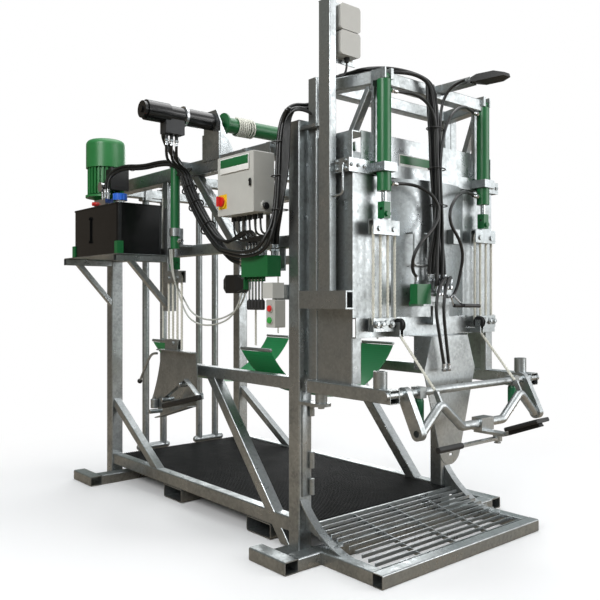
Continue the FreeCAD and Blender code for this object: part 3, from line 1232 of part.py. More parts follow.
# Sheets: two sides, wall panels beside the curved sheet, an upper sheet and a top shelf
side_y = far_y - 6
corner_x0 = gate_wall_x - 36
for side in (-1, 1):
    y0, y1 = sorted((side * side_y, side * (side_y - sheet_thick)))
    outline = [V(tall_x1, y0, rail_top), V(corner_x0, y0, rail_top), V(corner_x0, y0, channel_z0),
               V(wall_x, y0, channel_z0), V(wall_x, y0, sheet_top), V(tall_x1, y0, sheet_top)]
    add("gate_sheets", slab(outline, Y, sheet_thick))
    y0, y1 = sorted((side * side_y, side * 270))
    panel = box(wall_x, wall_x + sheet_thick, y0, y1, channel_z1, bar_z0)
    add("gate_sheets", panel)
    y0, y1 = sorted((side * side_y, side * 400))
    add("gate_sheets", box(tall_x1, wall_x, y0, y1, sheet_top, sheet_top + 5))
    yc = side * (far_y - 30)
    corner = tube(V(gate_wall_x - 18, yc, rail_top), V(gate_wall_x - 18, yc, channel_z0),
                  36, 60, light_wall, X)
    add("gate_frame", corner)
    # side bar and its spacer, bolted to the long flat bar
    y0, y1 = sorted((side * (far_y + 24), side * (far_y + 32)))
    side_bar = box(mast_x + 39, bar_x0, y0, y1, bar_z0, bar_z1)
    add("gate_frame", side_bar)
    y0, y1 = sorted((side * side_y, side * (far_y + 24)))
    add("gate_frame", box(mast_x + 39, mast_x + 75, y0, y1, bar_z0 + 10, bar_z1 - 10))
    # channel behind the cylinder, and the cylinder's head bracket
    cyl = side * cylinder_y
    web = box(wall_x + 4, wall_x + 8, cyl - 30, cyl + 30, bar_z1, 2150)
    for dy in (-30, 26):
        web = web.fuse(box(wall_x + 4, bar_x0 + 8, cyl + dy, cyl + dy + 4, bar_z1, 2150))
    add("gate_frame", web.removeSplitter())
    head = box(head_x, head_x + 8, cyl - 30, cyl + 30, 2150, 2225)
    pin_z = rear_top + 14
    for dy0, dy1 in ((16.3, 24.3 + (8.5 if side < 0 else 0)), (-24.3 - (8.5 if side > 0 else 0), -16.3)):
        head = head.fuse(box(head_x, cylinder_x + 28, cyl + dy0, cyl + dy1, rear_top + 1, 2225))
    head = head.cut(rod(V(cylinder_x, cyl - 60, pin_z), V(cylinder_x, cyl + 60, pin_z), 9))
    add("gate_frame", head.removeSplitter())
    pin = rod(V(cylinder_x, cyl - 26, pin_z), V(cylinder_x, cyl + 26, pin_z), 9 - running_gap)
    add("rear_lift_mounts", pin)
    clamp = box(bar_x0 + 8, cylinder_x + 42, cyl - 42, cyl + 42, bar_z0 + 10, bar_z1 - 10)
    clamp = clamp.cut(rod(V(cylinder_x, cyl, bar_z0), V(cylinder_x, cyl, bar_z1), barrel_r + clearance))
    add("rear_lift_mounts", clamp)
    # brace from the shelf up to the head bracket
    brace = tube(V(215, side * 430, 1880), V(385, side * 385, 2240), 40, 30, 3, Y)
    add("gate_frame", brace.common(box(200, wall_x + 4, -480, 480, sheet_top + 5, 2150)))
    # spacer of the long bar against the wall panel
    y0, y1 = sorted((side * 310, side * 345))
    add("gate_frame", box(wall_x + 4, bar_x0, y0, y1, bar_z0, bar_z1))
upper_half = 465.0
add("gate_sheets", box(wall_x, wall_x + 4, -upper_half, upper_half, bar_z0, sheet_top + 10))
bar_half = far_y + 32
add("gate_frame", box(bar_x0, bar_x0 + 8, -bar_half, bar_half, bar_z0, bar_z1))
cross_half = cylinder_y - 24.3 - 8.5
add("gate_frame", tube(V(383, -cross_half, 2182), V(383, cross_half, 2182), 60, 60, light_wall, X))
channel_x0 = 340.0
channel_x1 = 370.0
bottom_channel = box(channel_x0, channel_x1, -side_y, side_y, channel_z0, channel_z1)
bottom_channel = bottom_channel.cut(box(channel_x0 - 1, channel_x1 - 5, -side_y - 1, side_y + 1,
                                        channel_z0 + 5, channel_z1 - 5))
bottom_channel = bottom_channel.cut(box(channel_x0 - 1, wall_x + 0, -side_y - 1, -side_y + 4,
                                        channel_z0 - 1, channel_z1 + 1))
bottom_channel = bottom_channel.cut(box(channel_x0 - 1, wall_x + 0, side_y - 4, side_y + 1,
                                        channel_z0 - 1, channel_z1 + 1))
add("gate_frame", bottom_channel)

# Curved sheet with its U handle and keeper
curve_half = 270.0
curve_out = 70.0
arc_out = Part.Arc(V(wall_x + 4, -curve_half, 0), V(wall_x + 4 + curve_out, 0, 0),
                   V(wall_x + 4, curve_half, 0)).toShape()
arc_in = Part.Arc(V(wall_x, curve_half, 0), V(wall_x + curve_out, 0, 0), V(wall_x, -curve_half, 0)).toShape()
curve_wire = Part.Wire([arc_out, line(V(wall_x + 4, curve_half, 0), V(wall_x, curve_half, 0)), arc_in,
                        line(V(wall_x, -curve_half, 0), V(wall_x + 4, -curve_half, 0))])
curved = Part.Face(curve_wire).extrude(Z * (bar_z0 - channel_z1))
curved.translate(Z * channel_z1)
add("gate_curved_sheet", curved)


def curve_x(y):
    """Outer face of the curved sheet at a distance y from its middle."""
    radius = (curve_half ** 2 + curve_out ** 2) / (2 * curve_out)
    return wall_x + 4 + curve_out - radius + math.sqrt(radius ** 2 - y ** 2)


def bent_rod(points, radius, bend):
    """A round bar through points, with an arc of radius bend at each inner one."""
    edges = []
    start = points[0]
    for i in range(1, len(points) - 1):
        a = (points[i - 1] - points[i]).normalize()
        b = (points[i + 1] - points[i]).normalize()
        half = a.getAngle(b) / 2
        back = bend / math.tan(half)
        p = points[i] + a * back
        q = points[i] + b * back
        mid = points[i] + (a + b).normalize() * (bend / math.sin(half) - bend)
        edges.append(line(start, p))
        edges.append(Part.Arc(p, mid, q).toShape())
        start = q
    edges.append(line(start, points[-1]))
    ring = Part.Wire(Part.makeCircle(radius, points[0], points[1] - points[0]))
    return Part.Wire(edges).makePipeShell([ring], True, False)


handle_x = curve_x(200) + 45
handle = bent_rod([V(curve_x(198) - 2, -198, 1500), V(handle_x, -198, 1500), V(handle_x, -198, 1350),
                   V(handle_x, -98, 1350), V(handle_x, -98, 1500), V(curve_x(98) - 2, -98, 1500)], 6, 14)
add("gate_curved_sheet", max(handle.cut(curved).Solids, key=lambda piece: piece.Volume))
keeper = box(curve_x(65) - 2, curve_x(65) + 34, 65, 115, 1460, 1530)
keeper = keeper.cut(Part.Face(curve_wire).extrude(Z * 700).translated(Z * channel_z1))
add("gate_curved_sheet", *[s for s in keeper.Solids if s.CenterOfMass.x > curve_x(90)])

# Drop plate hung under the bottom channel: a box in front of it and a tapered tongue
drop_x = 474.0
drop_box = box(channel_x1, drop_x, -134, 134, 862, channel_z0)
drop_box = drop_box.cut(box(channel_x1 - 1, drop_x - 4, -130, 130, 861, channel_z0 - 4))
drop_box = drop_box.fuse(box(channel_x0, channel_x1, -134, 134, channel_z0 - 4, channel_z0))
add("gate_drop_plate", drop_box.removeSplitter())
tongue_top = [V(drop_x, -134, channel_z0), V(drop_x, -190, 862), V(drop_x, -75, 470)]
tip = Part.Arc(V(drop_x, -75, 470), V(drop_x, 0, 411), V(drop_x, 75, 470)).toShape()
tongue_wire = Part.Wire([line(tongue_top[0], tongue_top[1]), line(tongue_top[1], tongue_top[2]), tip,
                         line(V(drop_x, 75, 470), V(drop_x, 190, 862)),
                         line(V(drop_x, 190, 862), V(drop_x, 134, channel_z0)),
                         line(V(drop_x, 134, channel_z0), tongue_top[0])])
tongue = Part.Face(tongue_wire).extrude(X * 6)
slot = box(drop_x - 1, drop_x + 7, -18, 18, 452, 464)
add("gate_drop_plate", tongue.cut(slot))

# Mast on the gate's near side, with a bracket below and a sensor housing on top
bracket_z0 = 1150.0
bracket_z1 = 1230.0
mast = tube(V(mast_x, mast_y, bracket_z1), V(mast_x, mast_y, mast_top), 75, 40, 3, X)
mast_cap = box(mast_x - 37.5, mast_x + 37.5, mast_y - 20, mast_y + 20, mast_top, mast_top + 4)
mast_bracket = box(92, 400, -610, -560, bracket_z0, bracket_z1)
mast_bracket = mast_bracket.cut(box(91, 401, -604, -559, bracket_z0 + 6, bracket_z1 - 6))
mast_bracket = mast_bracket.fuse(box(140, wall_x, -560, -side_y, bracket_z1 - 6, bracket_z1))
mast_bracket = mast_bracket.fuse(box(140, wall_x, -560, -side_y, bracket_z0, bracket_z0 + 6))
tie = box(150, mast_x - 37.5, -560, -545, 2080, 2140)
back_plate = box(215, 221, mast_y + 20, -376, 2272, 2545)
add("gate_mast", mast, mast_cap, mast_bracket.removeSplitter(), back_plate)
plate_arm = tube(V(218, -455, 2200), V(218, -455, 2272), 30, 6, 3, Y)
add("gate_mast", plate_arm.common(box(200, 240, -500, -400, 2220, 2272)))
lobes = []
for z0, z1 in ((2295, 2405), (2409, 2525)):
    lobe = box(221, 275, -520, -395, z0, z1)
    lobes.append(lobe.makeFillet(16, [e for e in lobe.Edges if abs(e.tangentAt(0).x) > 0.9]))
lobes.append(box(221, 245, -500, -415, 2405, 2409))
add("gate_mast", *lobes)

# L rod beside the mast, and a latch bar that slides up in two guides on the tall tube
latch_x = tall_x1 + 14
latch_y = -490.0
for z in (1300, 1700):
    guide = box(tall_x1, tall_x1 + 28, latch_y - 18, latch_y + 18, z, z + 20)
    guide = guide.cut(box(latch_x - 10 - clearance, latch_x + 10 + clearance,
                          latch_y - 10 - clearance, latch_y + 10 + clearance, z - 1, z + 21))
    add("gate_frame", guide)
latch = box(latch_x - 10, latch_x + 10, latch_y - 10, latch_y + 10, 1236, 1761)
latch = latch.fuse(box(latch_x - 14, latch_x + 14, latch_y - 14, latch_y + 14, 1720 + clearance, 1761))
latch_knob = rod(V(latch_x + 10, latch_y, 1500), V(latch_x + 60, latch_y, 1500), 7)
add("latch_bar", latch.fuse(latch_knob))

# Rear lift mounts: plates behind the lower blocks, guide rollers that turn the ropes
guide_r = 28.0
guide_x = cylinder_x + guide_r
guide_z = rear_low_z - 12
rope_y = cylinder_y - (sheave_pitch + sheave_r)
for side in (-1, 1):
    cyl = side * cylinder_y
    plate = box(channel_x1, cylinder_x - cheek_gap / 2 - plate6, cyl - 48, cyl + 48,
                channel_z0 + 30, channel_z1 - 6)
    add("rear_lift_mounts", plate)
    # the roller turns between two ears that stand out from the channel
    y = side * rope_y
    ears = None
    for dy in (-1, 1):
        y0, y1 = sorted((y + dy * 9.5, y + dy * 14.5))
        ear = box(channel_x1, guide_x + 16, y0, y1, channel_z0 + 2, rear_low_z - 42)
        ear = ear.fuse(box(guide_x - 16, guide_x + 16, y0, y1, rear_low_z - 42, guide_z + 12))
        ears = ear if ears is None else ears.fuse(ear)
    add("rear_lift_mounts", *ears.removeSplitter().Solids)
    roller = rod(V(guide_x, y - 9.2, guide_z), V(guide_x, y + 9.2, guide_z), guide_r + 2)
    roller = roller.cut(Part.makeTorus(guide_r, rope_r + 0.4, V(guide_x, y, guide_z), Y))
    add("rear_lift_mounts", roller)


# Leg bar: a pivot bar through the rail ends, two arms, a bent tube with rope eyes, buffers
bar_reach = far_y + 45
pivot_bar = rod(V(pivot_bar_x, -bar_reach, pivot_bar_z), V(pivot_bar_x, bar_reach, pivot_bar_z), pivot_bar_r)
leg_bend = 45.0
peak_y = 300.0
peak_z = 745.0
flat_y = 155.0
bent = bent_rod([V(leg_bar_x, -leg_arm_y - 15, leg_bar_z), V(leg_bar_x, -leg_arm_y + 20, leg_bar_z),
                 V(leg_bar_x, -peak_y, peak_z), V(leg_bar_x, -flat_y, leg_bar_z - 3),
                 V(leg_bar_x, flat_y, leg_bar_z - 3), V(leg_bar_x, peak_y, peak_z),
                 V(leg_bar_x, leg_arm_y - 20, leg_bar_z), V(leg_bar_x, leg_arm_y + 15, leg_bar_z)],
                leg_bar_r, 30)
add("leg_bar", pivot_bar)
bores = []
for side in (-1, 1):
    y0, y1 = sorted((side * (leg_arm_y - 15), side * (leg_arm_y + 15)))
    direction = V(leg_bar_x - pivot_bar_x, 0, leg_bar_z - pivot_bar_z)
    length = direction.Length
    plate = box(-30, 30, 0, 30, 0, length)
    plate = aim(plate, V(pivot_bar_x, y0, pivot_bar_z), direction, V(direction.z, 0, -direction.x))
    arm = plate.fuse(rod(V(pivot_bar_x, y0, pivot_bar_z), V(pivot_bar_x, y1, pivot_bar_z), 30))
    arm = arm.fuse(rod(V(leg_bar_x, y0, leg_bar_z), V(leg_bar_x, y1, leg_bar_z), 30))
    arm = arm.cut(pivot_bar).cut(bent)
    arm = arm.cut(rod(V(leg_bar_x, y0 - 1, leg_bar_z), V(leg_bar_x, y1 + 1, leg_bar_z), leg_bar_r))
    add("leg_bar", *[s for s in arm.Solids if s.Volume > 1000])
    bores.append(rod(V(leg_bar_x, side * (leg_arm_y + 16), leg_bar_z),
                     V(leg_bar_x, side * (leg_arm_y - 20), leg_bar_z), leg_bar_r - 5))
add("leg_bar", bent.cut(bores))
# buffers hang from saddles on the pivot bar
buffer_y = 353.0
buffer_r = 22.0
for side in (-1, 1):
    y = side * buffer_y
    saddle = box(pivot_bar_x - 26, pivot_bar_x + 26, y - 20, y + 20, pivot_bar_z - 24, pivot_bar_z + 24)
    add("leg_bar", saddle.cut(pivot_bar))
    buffer = turned(((0, 660), (15, 660), (buffer_r, 667), (buffer_r, 756), (buffer_r - 4, 768),
                     (0, 768)), pivot_bar_x, y)
    add("leg_bar_buffers", buffer)
    tip_rod = rod(V(pivot_bar_x, y, 640), V(pivot_bar_x, y, 660), 7)
    add("leg_bar_buffers", tip_rod)

# Rope eyes at the peaks, and the stretch of rope from the guide roller to each eye
eye_x = 640.0
eye_z = 790.0
rope_start = V(cylinder_x, 0, guide_z)
eye_point = V(eye_x - 8, 0, eye_z + 10)
gap = V(eye_point.x - guide_x, 0, eye_point.z - guide_z)
swing = math.atan2(gap.z, gap.x)
reach_angle = swing - math.asin(guide_r / gap.Length) - math.pi / 2 + 2 * math.pi
for side in (-1, 1):
    y = side * rope_y
    # tangent point where the rope leaves the roller, found from the eye
    dist = gap.Length
    base = math.atan2(gap.z, gap.x)
    leave_angle = base - math.acos(guide_r / dist)
    leave = V(guide_x + guide_r * math.cos(leave_angle), y, guide_z + guide_r * math.sin(leave_angle))
    middle_angle = (math.pi + (leave_angle % (2 * math.pi))) / 2
    middle = V(guide_x + guide_r * math.cos(middle_angle), y, guide_z + guide_r * math.sin(middle_angle))
    start = V(cylinder_x, y, guide_z)
    end = V(eye_point.x, y, eye_point.z)
    path = Part.Wire([Part.Arc(start, middle, leave).toShape(), line(leave, end)])
    ring = Part.Wire(Part.makeCircle(rope_r, start, Z))
    add("leg_ropes", path.makePipeShell([ring], True, False))
    eye = rod(V(eye_x, y - 7, eye_z), V(eye_x, y + 7, eye_z), 11)
    eye_plate = slab([V(eye_x - 10, y - 5, eye_z - 6), V(eye_x + 8, y - 5, eye_z + 6),
                      V(leg_bar_x + 12, y - 5, peak_z), V(leg_bar_x - 10, y - 5, peak_z - 10)], Y, 10)
    add("leg_bar", eye.fuse(eye_plate).cut(bent))

# Foot clamp on the flat middle: a socket, a padded rest, and a lever on an upright pin
clamp_z0 = 590.0
clamp_z1 = leg_bar_z - 3 + leg_bar_r + 8
socket = box(leg_bar_x - leg_bar_r - 8, leg_bar_x + leg_bar_r + 8, -45, 45, clamp_z0 + 12, clamp_z1)
socket = socket.cut(rod(V(leg_bar_x, -60, leg_bar_z - 3), V(leg_bar_x, 60, leg_bar_z - 3), leg_bar_r))
plate_x1 = 790.0
rest_plate = box(leg_bar_x - 28, plate_x1, -30, 30, clamp_z0, clamp_z0 + 12)
neck_arm = slab([V(plate_x1 - 20, -15, clamp_z0 + 12), V(plate_x1, -15, clamp_z0),
                 V(960, -15, 655), V(950, -15, 668)], Y, 30)
add("foot_clamp", socket, rest_plate, neck_arm.cut(rest_plate))
pad_dir = V(180, 0, 66)
pad = Part.Face(rounded_wire(96, 18, 7)).extrude(V(0, 0, 168))
pad = aim(pad, V(805.9, 0, 624.7), pad_dir, Y)
pad = pad.cut(neck_arm)
add("foot_clamp", *[s for s in pad.Solids if s.Volume > 5000])
lever_px = 740.0
lever_pin = rod(V(lever_px, 0, clamp_z0 - 34), V(lever_px, 0, clamp_z0), 9)
add("foot_clamp", lever_pin)
lever_z = clamp_z0 - 16
lever_arm = box(lever_px - 13, lever_px + 13, -260, 0, lever_z - 6, lever_z + 6)
lever_arm = lever_arm.fuse(rod(V(lever_px, 0, lever_z - 12), V(lever_px, 0, lever_z + 12), 20))
lever_arm = lever_arm.cut(rod(V(lever_px, 0, lever_z - 20), V(lever_px, 0, lever_z + 20), 9 + running_gap))
grip = rod(V(lever_px, -417, lever_z), V(lever_px, -260, lever_z), 13)
add("foot_clamp_lever", lever_arm, grip)
pin_head = rod(V(lever_px, 0, clamp_z0 - 38), V(lever_px, 0, clamp_z0 - 34), 15)
add("foot_clamp", pin_head)

# Rear valve on the curved sheet: a green block, a silver spool body and two levers
valve_x0 = wall_x + sheet_thick + curve_out + 4 + clearance
green_block = box(valve_x0 + 2, valve_x0 + 46, -225, -130, 1170, 1262)
valve_body = box(valve_x0 + 2, valve_x0 + 40, -130, 30, 1180, 1236)
backing = box(valve_x0 - 4, valve_x0 + 2, -60, 60, channel_z1 + 30, 1262)
backing = backing.fuse(box(valve_x0 - 4, valve_x0 + 2, -225, 60, 1160, 1180))
bridge = box(channel_x1, valve_x0 - 4, -40, 40, channel_z1 - 40, channel_z1 - 30)
foot_bracket = box(valve_x0 - 4, valve_x0 + 2, -60, 60, channel_z1 - 40, channel_z1 + 30)
add("rear_valve", green_block, valve_body, backing.fuse([foot_bracket, bridge]).removeSplitter())
for y in (-110, -82, -54, -26, 2):
    add("rear_valve", rod(V(valve_x0 + 20, y, 1236), V(valve_x0 + 20, y, 1276), 8))
for name, x_end, y_root in (("near", 484.0, -8.0), ("far", 518.0, 20.0)):
    root_x = valve_x0 + 52
    z = 1206.0
    for dy in (-9.3, 6.3):
        lug = box(valve_x0 + 40, root_x + 6, y_root + dy, y_root + dy + 3, z - 8, z + 8)
        add("rear_valve", lug.cut(rod(V(root_x, y_root - 20, z), V(root_x, y_root + 20, z), 3 + running_gap)))
    hub = rod(V(root_x, y_root - 6, z), V(root_x, y_root + 6, z), 6)
    hub = hub.fuse(rod(V(root_x, y_root - 9.3, z), V(root_x, y_root + 9.3, z), 3))
    tip_point = V(x_end, y_root + 26, 1162)
    grip_end = V(x_end + 4, y_root + 150, 1160)
    elbow = V(root_x + 16, y_root, z - 4)
    hub = hub.fuse([rod(V(root_x + 2, y_root, z), elbow, 4), Part.makeSphere(4, elbow)])
    hub = hub.fuse([rod(elbow, tip_point, 4), Part.makeSphere(5, tip_point)])
    add("rear_lever_" + name, hub, rod(tip_point + V(0, 5, 0), grip_end, 9))

# Top arm: hinged on the crossbeam, with a crowned pad at its outer end
arm_px = 436.0
arm_pz = 2192.0
for dy in (-33, 25.3):
    ear = box(413, arm_px + 14, dy, dy + 7.7, arm_pz - 16, arm_pz + 16)
    add("gate_frame", ear.cut(rod(V(arm_px, -60, arm_pz), V(arm_px, 60, arm_pz), 6 + running_gap)))
top_arm = box(arm_px - 12, 610, -25, 25, arm_pz - 12, arm_pz + 18)
top_arm = top_arm.cut(box(arm_px + 20, 611, -21, 21, arm_pz - 8, arm_pz + 14))
top_arm = top_arm.fuse(rod(V(arm_px, -33, arm_pz), V(arm_px, 33, arm_pz), 6))
pad_sections = []
for x, half_w, z0, z1 in ((610, 34, 2186, 2206), (650, 46, 2176, 2212), (740, 46, 2172, 2206),
                          (789, 26, 2176, 2190)):
    pad_sections.append(Part.makePolygon([V(x, -half_w, z0), V(x, half_w, z0), V(x, half_w * 0.7, z1),
                                          V(x, -half_w * 0.7, z1), V(x, -half_w, z0)]))
add("top_arm", top_arm, Part.makeLoft(pad_sections, True, True))

# Hoses: two bundles on the chassis and one on the gate, each held by clips and screwed to ports
hose_r = 8.0
port_run = 20.0


def clip(x0, x1, y0, y1, z0, z1, hoses):
    """A clip block with a bed for every hose that runs through it."""
    block = box(x0, x1, y0, y1, z0, z1)
    for hose in hoses:
        block = block.cut(hose)
    return max(block.Solids, key=lambda piece: piece.Volume)


def side_route(dy, d):
    """From the winch's valve block to the valve bank's end; d sets a hose further inwards."""
    y = near_y - 92 + dy
    top_y = -780 + dy
    port_z = 1366 + d
    return [V(-750, top_y, 2104 - d), V(-832 + 0.2 * d, top_y, 2104 - d),
            V(-882 + 0.7 * d, top_y + 45, 2050 - 0.7 * d), V(-892 + d, top_y + 105, 1980 - 0.2 * d),
            V(-880 + d, y - 4, 1900), V(-830 + 0.9 * d, y, 1790 + 0.3 * d),
            V(-760 + 0.85 * d, y, 1690 + 0.5 * d), V(-640 + 0.75 * d, y, 1556 + 0.66 * d),
            V(-500 + 0.4 * d, y, 1440 + 0.95 * d), V(-380, y, port_z),
            V(bank_x0 - port_run, y, port_z)]


side_set = []
for dy, d in ((0, 0), (0, 18), (-18, 4), (-18, 22)):
    side_set.append(cord("side hose", side_route(dy, d), hose_r))
    port = V(bank_x0, near_y - 92 + dy, 1366 + d)
    add("valve_bank", rod(port - X * port_run, port, hose_r))
    port = V(-730, -780 + dy, 2104 - d)
    add("winch_motor", rod(port - X * port_run, port, hose_r))
add("side_hoses", *side_set)
add("side_hoses", clip(-898, -844, near_y - 124, near_y - half_post, 1904, 1920, side_set))


def rise_route(dy, d):
    """From the valve bank's top ports up beside the front post."""
    y = near_y - 84 + dy
    return [V(-72 - d, y, bank_z1 + port_run), V(-72 - d, y, 1494), V(-36 - d, y, 1620),
            V(-22 - d, y, 1740), V(-20 - d, y, 1860), V(-16 - 0.9 * d, y, 1990 + 0.4 * d),
            V(28 - 0.3 * d, y, 2066 + 0.95 * d)]


rise_set = []
for dy, d in ((0, 0), (0, 23), (-20, 8)):
    rise_set.append(cord("rising hose", rise_route(dy, d), hose_r))
    port = V(-72 - d, near_y - 84 + dy, bank_z1)
    add("valve_bank", rod(port, port + Z * port_run, hose_r))
add("side_hoses", *rise_set)
for z in (1680, 1900):
    add("side_hoses", clip(-60, -4, near_y - 115, near_y - half_post, z, z + 14, rise_set))


def gate_route(dy, port_y):
    """The gate bundle's route from the crossbeam down the curved sheet to the valve's ports."""
    x = 446
    return [V(x, -100 + dy, 2196), V(x, -92 + dy, 2080), V(x, -78 + dy, 1950), V(x, -72 + dy, 1800),
            V(x, -50 + dy, 1640), V(x, -38 + dy, 1480), V(valve_x0 + 20, port_y, 1370),
            V(valve_x0 + 20, port_y, 1276)]


gate_set = []
for dy, port_y in ((-28, -54), (-9, -26), (10, 2)):
    gate_set.append(cord("gate hose", gate_route(dy, port_y), hose_r))
add("gate_hoses", *gate_set)
add("gate_hoses", clip(413, 448, -142, -76, 2162, 2178, gate_set))
sheet_clip = box(wall_x, 448, -92, -26, 1560, 1576)
sheet_clip = sheet_clip.cut(Part.Face(curve_wire).extrude(Z * 800).translated(Z * channel_z1))
for hose in gate_set:
    sheet_clip = sheet_clip.cut(hose)
add("gate_hoses", max(sheet_clip.Solids, key=lambda piece: piece.CenterOfMass.x))


# Write one file for each node
for name, solids in nodes.items():
    shape = Part.makeCompound(solids) if len(solids) > 1 else solids[0].copy()
    shape.translate(X * -skid_offset)
    shape.exportStep("parts/" + name + ".step")
for name, length, least, share in cord_report:
    print("cord %s: length %.0f mm, least bend radius %.0f mm, volume share %.3f"
          % (name, length, least, share))
print(len(nodes), "nodes")
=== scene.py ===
"""Looks of the hoof trimming chute: finishes of its steelwork, and its ropes, hoses and slings."""
import math

import bpy
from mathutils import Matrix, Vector


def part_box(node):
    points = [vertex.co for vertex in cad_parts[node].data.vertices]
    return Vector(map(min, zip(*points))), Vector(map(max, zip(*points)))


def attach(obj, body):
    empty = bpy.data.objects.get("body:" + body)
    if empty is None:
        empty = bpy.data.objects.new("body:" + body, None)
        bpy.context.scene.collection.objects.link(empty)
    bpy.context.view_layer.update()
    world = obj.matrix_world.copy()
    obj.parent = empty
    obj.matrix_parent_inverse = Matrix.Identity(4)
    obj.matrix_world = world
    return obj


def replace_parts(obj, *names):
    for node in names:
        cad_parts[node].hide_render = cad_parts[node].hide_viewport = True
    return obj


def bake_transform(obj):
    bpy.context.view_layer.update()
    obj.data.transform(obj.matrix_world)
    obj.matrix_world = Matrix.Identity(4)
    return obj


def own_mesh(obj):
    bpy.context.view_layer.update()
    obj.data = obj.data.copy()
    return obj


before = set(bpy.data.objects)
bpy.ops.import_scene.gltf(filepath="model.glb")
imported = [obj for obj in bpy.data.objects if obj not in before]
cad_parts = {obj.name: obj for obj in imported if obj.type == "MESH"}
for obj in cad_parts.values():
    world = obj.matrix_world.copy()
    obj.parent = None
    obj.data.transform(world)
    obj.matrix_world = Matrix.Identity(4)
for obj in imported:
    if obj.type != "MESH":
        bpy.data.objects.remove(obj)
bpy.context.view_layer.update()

bl_info = {
    "name": "Hoof trimming chute",
    "version": (1, 0, 0),
    "blender": (4, 5, 0),
    "location": "View3D > Sidebar > Chute",
    "description": "Dresses the packed chute with its finishes, ropes, hoses and slings",
    "category": "Object",
}

MM = 0.001
# How far the frame lies behind the source's own axes, in millimetres
SOURCE_X = 176
# What each finish gives to the shader
CHANNELS = ("colour", "metallic", "roughness", "height")

# Sizes that the pieces made here share with the frame, in metres
SHEAVE_PITCH = 0.047
SHEAVE_R = 0.023
OUTER_FALL = SHEAVE_PITCH + SHEAVE_R
INNER_FALL = SHEAVE_PITCH - SHEAVE_R
FRONT_LIFT = {"x": -1.106, "y": 0.655, "block": 1.310, "low": 0.945, "end": 0.910}
REAR_LIFT = {"x": 0.224, "y": 0.372, "block": 1.506, "low": 1.088, "end": 1.076}
DRUM_X = -0.876
DRUM_Z = 2.160
GUIDE_R = 0.028
SLINGS = (("front", -1.576, 0.125), ("rear", -0.606, 0.130))
SLING_HALF_Y = 0.465
SLING_RISE = 0.265
SLING_LOW = 0.650
SLING_THICK = 0.005
SLING_BAR_Z = 0.928

# Each lamp's name, place, aim, size and power in watts
LAMPS = (
    ("key", (1.6, -6.0, 4.6), (-0.8, 0, 1.1), 3.0, 300.0),
    ("door", (5.2, 3.4, 2.6), (-0.3, 0, 1.3), 4.6, 230.0),
    ("top", (-0.9, 0.6, 6.0), (-0.8, 0, 0), 4.5, 190.0),
    ("back", (-6.0, 4.5, 3.2), (-0.8, 0, 1.2), 3.5, 150.0),
)
FLOOR_MIDDLE = (-0.75, 0.0, 0.0)
PALE_WITHIN = 1.5
WHITE_BEYOND = 3.2
CAMERA_PLACE = (2.4329, -2.7537, 1.1958)
CAMERA_WAY = (-0.7604, 0.6494, 0)


def linear(code):
    """The linear colour of an sRGB hex code."""
    parts = [int(code[i:i + 2], 16) / 255 for i in (1, 3, 5)]
    return tuple(p / 12.92 if p <= 0.04045 else ((p + 0.055) / 1.055) ** 2.4 for p in parts) + (1.0,)


def tone(name, description, code):
    """A colour that the panel shows, given as its hex code."""
    return bpy.props.FloatVectorProperty(name=name, description=description, size=4, subtype="COLOR",
                                         min=0.0, max=1.0, default=linear(code))


def length(name, description, default, least=0.002):
    """A length that the panel shows, in metres."""
    return bpy.props.FloatProperty(name=name, description=description, default=default, min=least,
                                   unit="LENGTH")


class ChuteColours(bpy.types.PropertyGroup):
    zinc_light: tone("Zinc, light", "Bright crystals of the galvanising", "#b4b9bb")
    zinc_dark: tone("Zinc, dark", "Dull crystals of the galvanising", "#8d9191")
    green: tone("Green enamel", "Cylinders, drum and valves", "#136032")
    motor_green: tone("Motor green", "Enamel of the pump motor", "#25733a")
    black: tone("Black enamel", "Oil tank and winch motor", "#08090a")
    cabinet: tone("Cabinet grey", "Control box and its door", "#b9bab5")
    rope: tone("Rope", "Braided lift ropes", "#dcdcd2")
    sling: tone("Sling green", "Webbing of the belly slings", "#078a49")
    rubber: tone("Rubber", "Pads, grips and hoses", "#0a0b0b")


class ChuteSizes(bpy.types.PropertyGroup):
    spangle: length("Spangle", "Width of a zinc crystal", 0.013, 0.004)
    rope_r: length("Rope radius", "Half the thickness of the lift ropes", 0.007)
    sling_rope_r: length("Sling rope radius", "Half the thickness of the slings' ropes", 0.006)
    hose_r: length("Hose radius", "Half the thickness of a hydraulic hose", 0.009)
    rib_pitch: length("Mat rib spacing", "Distance between ribs of the floor mat", 0.015, 0.005)
    lens: bpy.props.FloatProperty(
        name="Lens", description="Focal length on a 36 mm sensor", default=43.21, min=10.0)


# Materials


def add(tree, kind, settings=None, links=None):
    """Add a shader node; lower-case settings are its own, the rest are values of its inputs."""
    made = tree.nodes.new("ShaderNode" + kind)
    for key, value in (settings or {}).items():
        if isinstance(key, str) and key[0].islower():
            setattr(made, key, value)
        else:
            made.inputs[key].default_value = value
    for key, source in (links or {}).items():
        tree.links.new(source, made.inputs[key])
    return made


def colours():
    return bpy.context.scene.chute_colours


def sizes():
    return bpy.context.scene.chute_sizes


